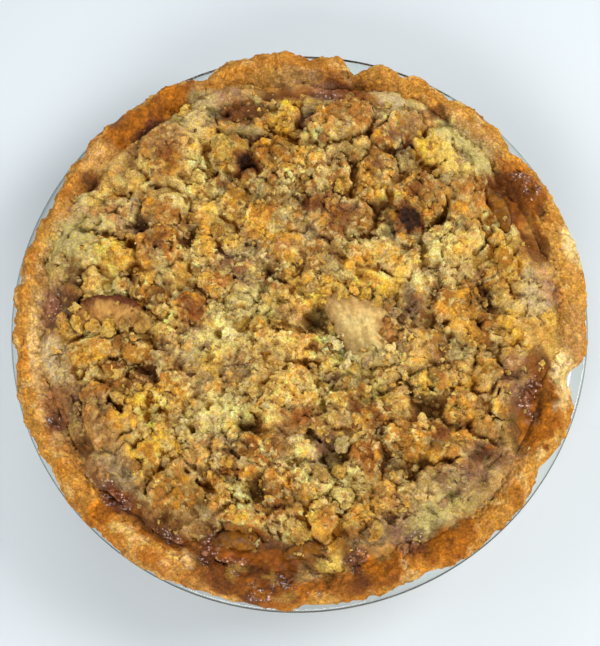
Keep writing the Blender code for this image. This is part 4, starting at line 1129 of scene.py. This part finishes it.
class Ground:
    """The crumble's height over a fine net: the heap, its clumps fused on, and lobes a few mm across."""

    CELL = 0.5
    HALF = 112.0

    def __init__(self):
        self.axis = np.arange(-self.HALF, self.HALF + 0.1, self.CELL)
        self.x, self.y = np.meshgrid(self.axis, self.axis, indexing="ij")
        x, y = self.x.ravel(), self.y.ravel()
        flat = flat_points(x, y)
        self.shape = self.x.shape
        reach, angle = np.hypot(x, y), np.degrees(np.arctan2(y, x))
        edge = np.interp(angle % 360, EDGE_ANGLES, EDGE_TABLE, period=360)
        share = np.minimum(1, reach / edge)
        height = HEAP_RIM + HEAP_DOME * (1 - share**3.0) + 1.6 * step(88, 104, reach)
        for size, strength, level in ((24, 1.95, 0), (9, 0.9, 1 / 9)):
            places = zip((x / size).tolist(), (y / size).tolist())
            height += strength * np.array([noise.noise((a, b, level)) for a, b in places])
        for hx, hy, wide, deep in HOLLOWS:
            height -= 0.8 * deep * np.exp(-(((x - hx) ** 2 + (y - hy) ** 2) / wide**2))
        self.height = (np.maximum(height, HEAP_BASE + 1) + 0.9).reshape(self.shape)
        self.push_x = noises(flat, (1.3, 5.0, 101), (0.6, 2.4, 102)).reshape(self.shape)
        self.push_y = noises(flat, (1.3, 5.0, 103), (0.6, 2.4, 104)).reshape(self.shape)
        ordered = sorted(CRUMBS, key=lambda row: -row[2] * row[3])
        for index, (cx, cy, length, width, turn, _, grain) in enumerate(ordered):
            self.add_clump(cx, cy, length, width, turn, index, 0.92 if grain else 0.85)
        draw = random.Random(11)
        for index, (cx, cy, size) in enumerate(filler_places(draw)):
            self.add_clump(cx, cy, size, 0.85 * size, draw.uniform(0, 180), 100 + index, 0.8)
        pushed = flat + flat_points(self.push_x.ravel(), self.push_y.ravel())
        pushed[:, 2] = 0.6 * self.height.ravel()
        seam, lean, own = chips(pushed, 7.2, 110)
        bump = 0.9 * (step(0, 0.45, seam) - 0.6) + 2.8 * lean + 1.4 * (own - 0.5)
        self.lobe = own.reshape(self.shape)
        seam, lean, own = chips(pushed, 3.9, 114)
        crumbly = 0.1 + 0.9 * step(-0.35, 0.35, noises(flat, (1, 14.0, 112), (0.3, 6.0, 113)))
        bump += crumbly * (0.7 * (step(0, 0.45, seam) - 0.6) + 1.4 * lean + 0.8 * (own - 0.5))
        # The chips' seams, kept for the crumble's colour, where they are darkened as painted shade.
        self.seam = (step(0.22, 0, seam) * crumbly).reshape(self.shape)
        self.crumb = own.reshape(self.shape)
        self.height += (bump * (1 - 0.45 * step(88, 100, reach))).reshape(self.shape)
        self.deep = np.zeros(self.shape)
        px, py = self.x + 1.6 * self.push_x, self.y + 1.6 * self.push_y
        for hx, hy, wide, deep in HOLLOWS:
            away = ((px - hx) ** 2 + (py - hy) ** 2) / (0.9 * wide) ** 2
            self.deep = np.maximum(self.deep, deep / 5.5 * np.exp(-(away**1.5)))
        self.height -= 1.8 * self.deep
        self.local = self.height - blurred(self.height, 4)
        self.wide = self.height - blurred(self.height, 11)

    def add_clump(self, x, y, length, width, turn, seed, share):
        """Fuses a clump on to the heap, with a ragged outline and a flatter crown."""
        x, y = clear_of_rim(x, y, length)
        rise = 0.24 * width + 2.5
        middle = max(heap_top(x, y), 40.7 + rise)
        window = 0.56 * length + 3
        i0, i1 = np.searchsorted(self.axis, (x - window, x + window))
        j0, j1 = np.searchsorted(self.axis, (y - window, y + window))
        part = (slice(i0, i1), slice(j0, j1))
        dx, dy = self.x[part] + self.push_x[part] - x, self.y[part] + self.push_y[part] - y
        c, s = math.cos(math.radians(turn)), math.sin(math.radians(turn))
        u, v = (c * dx + s * dy) / (0.5 * length), (c * dy - s * dx) / (0.5 * width)
        q = np.abs(u) ** 2.5 + np.abs(v) ** 2.5
        w = np.maximum(1 - q, 0) ** 0.4
        lump = []
        for a, b, c in zip(*((np.sign(k) * np.abs(k) ** 1.25).ravel().tolist() for k in (u, v, w))):
            large = noise.noise((a * 1.5 + seed * 3.1, b * 1.5 + seed * 1.7, c * 1.5))
            lump.append(1.05 + 0.42 * large + 0.16 * noise.noise((a * 3.7, b * 3.7 + seed * 2.3, c * 3.7)))
        lump = np.clip(np.array(lump).reshape(q.shape), 0.7, 1.05)
        q = q / lump**2.5
        top = middle + share * rise * lump * np.maximum(1 - q, 0) ** 0.5 - 6 * np.maximum(q - 1, 0) ** 0.7
        for facet in range(3):
            way = 2.4 * facet + 1.7 * seed
            tilt = 0.86 + 0.42 * (u * math.cos(way) + v * math.sin(way))
            top = np.minimum(top, middle + share * rise * tilt)
        old = self.height[part]
        soft = 1.4
        gap = np.abs(old - top)
        self.height[part] = np.maximum(old, top) + 0.25 * soft * np.maximum(0, 1 - gap / soft) ** 2

    def sample(self, field, x, y):
        i = np.clip((x + self.HALF) / self.CELL, 0, self.shape[0] - 1.001)
        j = np.clip((y + self.HALF) / self.CELL, 0, self.shape[1] - 1.001)
        i0, j0 = i.astype(int), j.astype(int)
        a, b = i - i0, j - j0
        low = field[i0, j0] * (1 - a) + field[i0 + 1, j0] * a
        high = field[i0, j0 + 1] * (1 - a) + field[i0 + 1, j0 + 1] * a
        return low * (1 - b) + high * b


def within_middle(x, y):
    """How far places lie inside the middle slice's outline; negative outside."""
    ways = []
    for (ax, ay), (bx, by) in zip(MIDDLE_OUTLINE, MIDDLE_OUTLINE[1:] + MIDDLE_OUTLINE[:1]):
        ways.append(((bx - ax) * (y - ay) - (by - ay) * (x - ax)) / math.hypot(bx - ax, by - ay))
    return np.min(ways, axis=0)


def clear_of_slices(points):
    """Pushes the crumble down under the middle and left slices, so that the slices lie in hollows."""
    x, y, z = points.T.copy()
    plane = 47.2 + 0.03 * x + 0.05 * y
    z = np.where((within_middle(x, y) > -0.2) & (z > plane), plane, z)
    ax, ay, radius, first, last, width = LEFT_ARC
    turn = np.degrees(np.arctan2(y - ay, x - ax))
    under = (np.abs(np.hypot(x - ax, y - ay) - radius) < 0.5 * width) & (turn > first) & (turn < last)
    z = np.where(under & (z > 45.8), 45.8, z)
    return np.stack([x, y, z], 1)


def crumble_skin(ground, points, faces):
    """Grains and colours for the crumble's upper surface."""
    x, y = points[:, 0], points[:, 1]
    reach = np.hypot(x, y)
    points = clear_of_slices(points)
    tones = tone_at(x, y)
    normal = normals_of(points, faces)
    places = bent(points, 0.7, 2.0, 105)
    mid, mid_lean, own_mid = chips(places, 2.1, 90)
    fine, fine_lean, own = chips(places, 1.15, 95)
    smooth = np.maximum(smooth_at(x, y), 0.9 * step(-0.1, 0.6, soft_noise(points, 9.0, 107)))
    smooth = np.maximum(smooth, 0.8 * step(90, 100, reach) * step(-0.7, 0, soft_noise(points, 9.0, 108)))
    smooth = smooth * (1 - 0.8 * pool_share(x, y, PLUM_POOLS, 35))
    rise = 0.35 * (step(0, 0.4, mid) - 0.6) + 0.8 * mid_lean + 0.5 * (own_mid - 0.5)
    rise += 0.2 * (step(0, 0.4, fine) - 0.6) + 0.4 * fine_lean + 0.25 * soft_noise(points, 0.9, 99)
    rise = rise * (1 - 0.75 * smooth) + 0.25 * soft_noise(points, 3.5, 98)
    points = points + normal * rise[:, None]
    up = normals_of(points, faces)[:, 2]
    fields = (ground.local, ground.wide, ground.lobe, ground.crumb, ground.seam, ground.deep)
    local, wide, lobe, crumb, seam, deep = (ground.sample(field, x, y) for field in fields)
    # Baked tops, paler sides.
    bake = 0.42 + 0.26 * wide + noises(points, (0.40, 7.0, 81), (0.30, 2.4, 82))
    singe = step(0.75, 1.4, 0.35 * wide + noises(points, (1, 8.0, 83), (0.6, 2.0, 84)))
    golden = step(0.5, 1.0, soft_noise(points, 5.0, 86) + 0.7 * (crumb - 0.5))
    cream = step(0.25, 0.85, soft_noise(points, 6.5, 85) + 0.8 * (lobe - 0.5) - 0.25 * wide)
    dusty = step(0.5, 1.0, noises(points, (1, 9.0, 88), (0.4, 3.0, 89)) - 0.2 * wide)
    colour = laid(
        mixed(tones[:, 1], tones[:, 2], step(0.15, 0.85, bake)),
        ("bed_singed", 0.75 * singe),
        ("bed_golden", 0.5 * golden),
        ("bed_cream", 0.6 * cream),
        ("bed_dusty", 0.5 * dusty),
        ("chip_pale", 0.5 * step(0.7, 0.8, own_mid) * (1 - 0.5 * smooth)),
        ("chip_brown", 0.45 * step(0.22, 0.14, own_mid) * (1 - smooth)),
    )
    small = (0.34 * (own - 0.5) + 0.26 * (crumb - 0.5)) * (1 - 0.4 * smooth)
    colour = colour * (1 + 0.26 * (lobe - 0.5) + small)[:, None]
    # Broad brightness changes; the slight rise from 50 to 80 mm out is painted light that offsets the shade
    # near the rim.
    broad = 1.09 + noises(points, (0.16, 6.0, 96), (0.14, 13.0, 97)) + 0.02 * step(50, 80, reach)
    colour = colour * broad[:, None] * (1.0, 0.97, 0.82)
    for sx, sy, spread, factor in SPOTS:
        spot = np.exp(-1.5 * ((x - sx) ** 2 + (y - sy) ** 2) / spread**2)
        colour = colour * (1 + (factor - 1) * spot)[:, None] ** (1.0, 1.12, 1.2)
    # Painted highlight: local high spots lightened.
    colour = np.clip(mixed(colour, colour * 1.2, step(0.1, 1.2, local)), 0, 0.86)
    # Painted shade: darker seams, crevices, hollows and downward-facing slopes, laid in with the crevice
    # colour.
    sink = (0.14 * step(0.25, 0, mid) + 0.12 * step(0.3, 0, fine)) * (1 - 0.8 * smooth)
    sink = sink + 0.08 * seam + 0.12 * np.clip(0.3 - up, 0, 1)
    sink = sink + np.clip(-0.34 * local - 0.14, 0, 1) + np.clip(-0.24 * wide - 0.2, 0, 1)
    sink = sink + 0.3 * step(0.35, 1.0, noises(points, (1, 5.5, 92), (0.5, 1.6, 93)) - 0.25 * wide)
    colour = mixed(colour, 1.35 * tones[:, 0], np.clip(sink, 0, 1))
    # The deepest hollows darkened: caramel-soaked crumble, and painted shade as well.
    deep = step(0.25, 0.8, np.clip(deep, 0, 1) + 0.15 * soft_noise(points, 2.5, 91))
    colour = mixed(colour, laid(tones[:, 0], ("hollow_caramel_and_shade", 0.7 * deep)), 0.75 * deep)
    burnt = scorch_at(x, y)
    burnt = burnt + step(0, 0.2, burnt) * (0.16 * soft_noise(points, 2.5, 87) + 0.14 * (own_mid - 0.5))
    return points, scorched_over(colour, burnt), np.minimum(deep, 0.4)


def build_crumble_middle(surface, ground):
    """The middle of the crumble: an even net of triangles over a disc, flat below."""
    rings = 164
    starts = [0] + [1 + 3 * k * (k - 1) for k in range(1, rings + 2)]
    out, angle, faces = [0.0], [0.0], []
    for k in range(1, rings + 1):
        out += [74.0 * k / rings] * (6 * k)
        angle += (np.arange(6 * k) * 360 / (6 * k)).tolist()
    out, angle = np.array(out), np.radians(angle)
    for k in range(rings):
        m, n = max(1, 6 * k), 6 * (k + 1)
        sector, i = np.divmod(np.arange(n), k + 1)
        a = starts[k] + (sector * k + i) % m
        b = starts[k + 1] + sector * (k + 1) + i
        c = starts[k + 1] + (sector * (k + 1) + i + 1) % n
        d = starts[k] + (sector * k + i + 1) % m
        faces += [np.stack([a, b, c], 1), np.stack([a, c, d], 1)[i < k]]
    faces = np.vstack(faces)
    x, y = out * np.cos(angle), out * np.sin(angle)
    z = ground.sample(ground.height, x, y) - 0.35 * step(72.5, 74, out)
    points, colour, wet = crumble_skin(ground, np.stack([x, y, z], 1), faces)
    # A side below the outer ring and a flat underside.
    last = np.arange(starts[rings], len(points))
    count, n = len(points), len(last)
    points = np.vstack([points, points[last] * (1, 1, 0) + (0, 0, BED_LOW), (0, 0, BED_LOW)])
    j = np.arange(n)
    k = (j + 1) % n
    faces = [
        faces,
        np.stack([count + j, count + k, last[k]], 1),
        np.stack([count + j, last[k], last[j]], 1),
        np.stack([np.full(n, count + n), count + k, count + j], 1),
    ]
    colour, wet = np.vstack([colour, colour[last], colour[:1]]), np.concatenate([wet, wet[last], wet[:1]])
    faces = np.vstack(faces)
    make_piece("crumble_middle", points, faces, ["crumble_topping"], surface, colour, wet)
    return points


def build_crumble_edge(surface, ground):
    """The crumble round the rim: rows from under the middle out to its uneven edge, closed below."""
    sides = 1100
    rows = 68
    angles = np.arange(sides) * 360 / sides
    edge = cover_edge(angles) + 0.9 * ripple(angles, 98, 5, 15) + 0.9 * ripple(angles, 98, 12, 16)
    out = 72.0 + (edge - 72.0) * np.linspace(0, 1, rows)[:, None]
    fall = (edge - out).ravel()
    x, y = (out * np.cos(np.radians(angles))).ravel(), (out * np.sin(np.radians(angles))).ravel()
    out = out.ravel()
    z = ground.sample(ground.height, x, y)
    z += (np.minimum(z, 40.6 + 2.0 * step(102, 109, out)) - z) * step(4.5, 0.0, fall)
    z -= 0.35 * step(73.5, 72, out)
    faces = band(rows, sides)
    points, colour, wet = crumble_skin(ground, np.stack([x, y, z], 1), faces)
    syrup = pool_share(points[:, 0], points[:, 1], CARAMEL_POOLS, 31)
    plum = pool_share(points[:, 0], points[:, 1], PLUM_POOLS, 35)
    deep = np.clip(0.4 + 0.6 * soft_noise(points, 5.0, 26), 0, 1)
    colour = mixed(colour, mixed(ink("caramel_bright"), ink("caramel_deep"), deep), 0.8 * syrup)
    colour = rim_stained(points, laid(colour, ("bed_plum", 0.55 * plum)))
    colour = colour * (1 + 0.3 * plum * soft_noise(points, 1.4, 151))[:, None]
    wet = np.maximum(wet, np.maximum(0.4 * syrup, 0.7 * plum))
    # Underside, from the outer edge back to the inner one.
    count = len(points)
    low = [points[part] * (1, 1, 0) + (0, 0, BED_LOW) for part in (slice(-sides, None), slice(sides))]
    points = np.vstack([points, *low])
    j = np.arange(sides)
    k = (j + 1) % sides
    faces = [faces]
    for first, second in ((count - sides, count), (count, count + sides), (count + sides, 0)):
        for way in ([first + j, first + k, second + k], [first + j, second + k, second + j]):
            faces.append(np.stack(way, 1)[:, ::-1])
    faces = np.vstack(faces)
    colour = np.vstack([colour, colour[-sides:], colour[:sides]])
    wet = np.concatenate([wet, wet[-sides:], wet[:sides]])
    if normals_of(points, faces)[count // 2, 2] < 0:
        faces = faces[:, ::-1]
    make_piece("crumble_edge", points, faces, ["crumble_topping"], surface, colour, wet)
    return points


# ---------------------------------------------------------------- loose crumbs


class Heights:
    """The highest point in each square millimetre, to rest small crumbs on."""

    def __init__(self, clouds):
        self.grid = np.full((260, 260), 0.0)
        for cloud in clouds:
            i, j = np.clip((cloud[:, :2] + 130).astype(int), 0, 259).T
            np.maximum.at(self.grid, (i, j), cloud[:, 2])
        for _ in range(2):
            wide = np.pad(self.grid, 1, mode="edge")
            around = np.mean([wide[1:-1, :-2], wide[1:-1, 2:], wide[:-2, 1:-1], wide[2:, 1:-1]], axis=0)
            self.grid = np.where(self.grid < 38, around, self.grid)

    def around(self, x, y, reach):
        i, j = int(x + 130), int(y + 130)
        return self.grid[i - reach : i + reach + 1, j - reach : j + reach + 1].max()

    def at(self, x, y):
        return self.grid[int(np.clip(x + 130, 0, 259)), int(np.clip(y + 130, 0, 259))]


def ball(level):
    """Points and triangles of an icosphere; level 1 has 20 faces and each level four times the last."""
    shape = bmesh.new()
    bmesh.ops.create_icosphere(shape, subdivisions=level, radius=1)
    shape.verts.ensure_lookup_table()
    points = np.array([v.co[:] for v in shape.verts])
    faces = np.array([[v.index for v in f.verts] for f in shape.faces])
    shape.free()
    return points, faces


def loose_crumb(points, draw, size, seed):
    """A lumpy ball with seven flats cut on it, tilted and turned."""
    stretch = (draw.uniform(0.95, 1.4), draw.uniform(0.8, 1.1), draw.uniform(0.6, 0.95))
    shaped = points * (1 + 0.35 * soft_noise(points, 0.8, 200 + seed % 60))[:, None]
    for _ in range(7):
        way = np.array([draw.gauss(0, 1), draw.gauss(0, 1), draw.gauss(0, 0.8)])
        way /= np.linalg.norm(way)
        over = np.maximum(shaped @ way - draw.uniform(0.5, 0.85), 0)
        shaped = shaped - 0.9 * over[:, None] * way
    shaped = shaped * np.array(stretch) * 0.5 * size
    turn, tilt = draw.uniform(0, 2 * math.pi), draw.uniform(-0.6, 0.6)
    return shaped @ np.array(Matrix.Rotation(-tilt, 3, "X")) @ np.array(Matrix.Rotation(-turn, 3, "Z"))


def build_scatter(surface, heights):
    """Loose crumbs of every size lying on the crumble, in its hollows and out over the pastry."""
    draw = random.Random(5)
    kinds = (
        ("crumble_pieces", 150, 3.4, 8.0, 4, 104.0),
        ("crumble_bits", 420, 2.0, 4.2, 3, 106.0),
        ("crumble_grains", 900, 1.0, 2.1, 2, 111.0),
    )
    for name, number, least, most, level, reach_most in kinds:
        ball_points, ball_faces = ball(level)
        given = list(SLICE_CRUMBS) if level == 4 else []
        parts, tone_x, tone_y, picks = [], [], [], []
        tries = 0
        while len(parts) < number and tries < 20 * number:
            tries += 1
            reach = reach_most * math.sqrt(draw.random())
            angle = draw.uniform(0, 2 * math.pi)
            x, y = reach * math.cos(angle), reach * math.sin(angle)
            size = least + (most - least) * draw.random() ** 1.8
            limit = float(cover_edge(math.degrees(angle)))
            inside = within_middle(x, y)
            pick = draw.choice(("yellow", "cream", "gold", "sand", "gold", "tan", "yellow", "brown"))
            lying = bool(given)
            if lying:
                x, y, size, pick = given.pop()
            elif reach > limit - 0.5 * size:
                pick = draw.choice(("caramel", "caramel", "brown", "tan"))
                if draw.random() > (0.1 if level == 4 else 0.3):
                    continue
            elif (inside >= 0.5 and level > 2) or (inside >= -0.5 and draw.random() > 0.2):
                continue
            z = heights.at(x, y) + size * draw.uniform(-0.38, -0.05) - (0.15 * size if reach > limit else 0)
            if lying:
                z = heights.around(x, y, 3) - 0.1 * size
            z = min(z, 57.6 - 0.5 * size)
            parts.append(loose_crumb(ball_points, draw, size, len(parts)) + (x, y, z))
            picks.append(TONE_TABLE[TONE_NAMES.index(pick)])
            tone_x.append(x + draw.gauss(0, 6))
            tone_y.append(y + draw.gauss(0, 6))
        count = len(ball_points)
        points = np.vstack(parts)
        faces = np.vstack([ball_faces + index * count for index in range(len(parts))])
        tones = 0.45 * tone_at(np.array(tone_x), np.array(tone_y)) + 0.55 * np.array(picks)
        bright = np.repeat([draw.uniform(0.78, 1.12) for _ in parts], count)
        points, colour = grainy(points, faces, np.repeat(tones, count, axis=0), 0.25 + 0.05 * most)
        colour = colour * bright[:, None]
        wet = np.zeros(len(points))
        make_piece(name, points, faces, ["crumble_topping"], surface, colour, wet)


# ---------------------------------------------------------------- stage

WORLD_STRENGTH = 0.85
# Lamps: place, size in metres, power, tint.
LAMPS = {
    "key": ((0.85, 0.22, 0.72), (0.6, 0.6), 11.2, (1.0, 0.98, 0.95)),
    "back": ((-0.30, 0.95, 0.70), (0.6, 0.5), 4.6, (0.95, 0.98, 1.0)),
    "front": ((-0.15, -0.95, 0.80), (0.8, 0.6), 12.0, (1.0, 0.98, 0.96)),
    "left": ((-1.0, 0.05, 0.85), (0.8, 0.8), 4.0, (0.97, 0.98, 1.0)),
}


def build_table():
    mesh = bpy.data.meshes.new("table")
    half = 6.0
    corners = [(-half, -half, 0), (half, -half, 0), (half, half, 0), (-half, half, 0)]
    mesh.from_pydata(corners, [], [(0, 1, 2, 3)])
    table = bpy.data.objects.new("table", mesh)
    table.location.z = -0.0003
    bpy.context.scene.collection.objects.link(table)
    made, tree, shader = new_tree("pale_table")
    place = node(tree, "TexCoord").outputs["Object"]
    cloud = node(tree, "TexNoise", {"Vector": place, "Scale": 6.0, "Detail": 2.0}).outputs["Fac"]
    base = ramp(tree, cloud, (0, ink("table_dark")), (1, ink("table_light")))
    away = node(tree, "VectorMath", {0: place}, operation="LENGTH").outputs["Value"]
    # Painted light: the table is brighter close to the dish, offsetting the dish's shadow, and darker further
    # out.
    painted_light_near_dish = ranged(tree, away, 0.13, 0.22, 1.05, 0.94)
    fill(tree, shader, {"Base Color": shaded(tree, base, painted_light_near_dish), "Roughness": 0.6})
    mesh.materials.append(made)


def build_lights():
    world = bpy.data.worlds.new("studio")
    bpy.context.scene.world = world
    world.use_nodes = True
    tree = world.node_tree
    place = node(tree, "TexCoord").outputs["Generated"]
    height = node(tree, "SeparateXYZ", {0: place}).outputs[2]
    sky = ramp(tree, height, (0.15, (0.80, 0.88, 0.94)), (0.85, (0.16, 0.17, 0.18)))
    fill(tree, tree.nodes["Background"], {"Color": sky, "Strength": WORLD_STRENGTH})
    for name, (place, size, power, tint) in LAMPS.items():
        lamp = bpy.data.lights.new(name, "AREA")
        lamp.shape = "RECTANGLE"
        lamp.size, lamp.size_y = size
        lamp.energy = power
        lamp.color = tint
        made = bpy.data.objects.new(name, lamp)
        made.location = place
        made.rotation_euler = (Vector((0, 0, 0.03)) - Vector(place)).to_track_quat("-Z", "Y").to_euler()
        bpy.context.scene.collection.objects.link(made)


def build_camera():
    """The camera, looking down on the pie from close to straight above."""
    elevation, azimuth, distance = math.radians(74.146), math.radians(7.267), 0.75
    aim = Vector((0.00094, -0.00064, 0.038))
    level = math.cos(elevation)
    back = Vector((math.sin(azimuth) * level, -math.cos(azimuth) * level, math.sin(elevation)))
    camera = bpy.data.cameras.new("camera")
    holder = bpy.data.objects.new("camera", camera)
    holder.location = aim + back * distance
    right = (-back).cross(Vector((0, 1, 0))).normalized()
    up = right.cross(-back)
    holder.rotation_euler = Matrix((right, up, back)).transposed().to_euler()
    camera.sensor_fit = "VERTICAL"
    camera.sensor_height = 36.0
    camera.lens = 99.84
    bpy.context.scene.collection.objects.link(holder)
    bpy.context.scene.camera = holder
    bpy.context.scene.view_settings.view_transform = "Standard"
    bpy.context.scene.view_settings.look = "None"


# ---------------------------------------------------------------- everything in place

build_table()
build_lights()
build_camera()
build_dish()
clouds = [build_pastry(), build_filling(), build_slices()]
crumble_surface = food_material("dry_crumble", 0.55, 0.5, 0.9, 0.12, 0.4, 0.23, 0.2, toast=0.22)
ground = Ground()
clouds.append(build_crumble_middle(crumble_surface, ground))
clouds.append(build_crumble_edge(crumble_surface, ground))
build_scatter(crumble_surface, Heights(clouds))
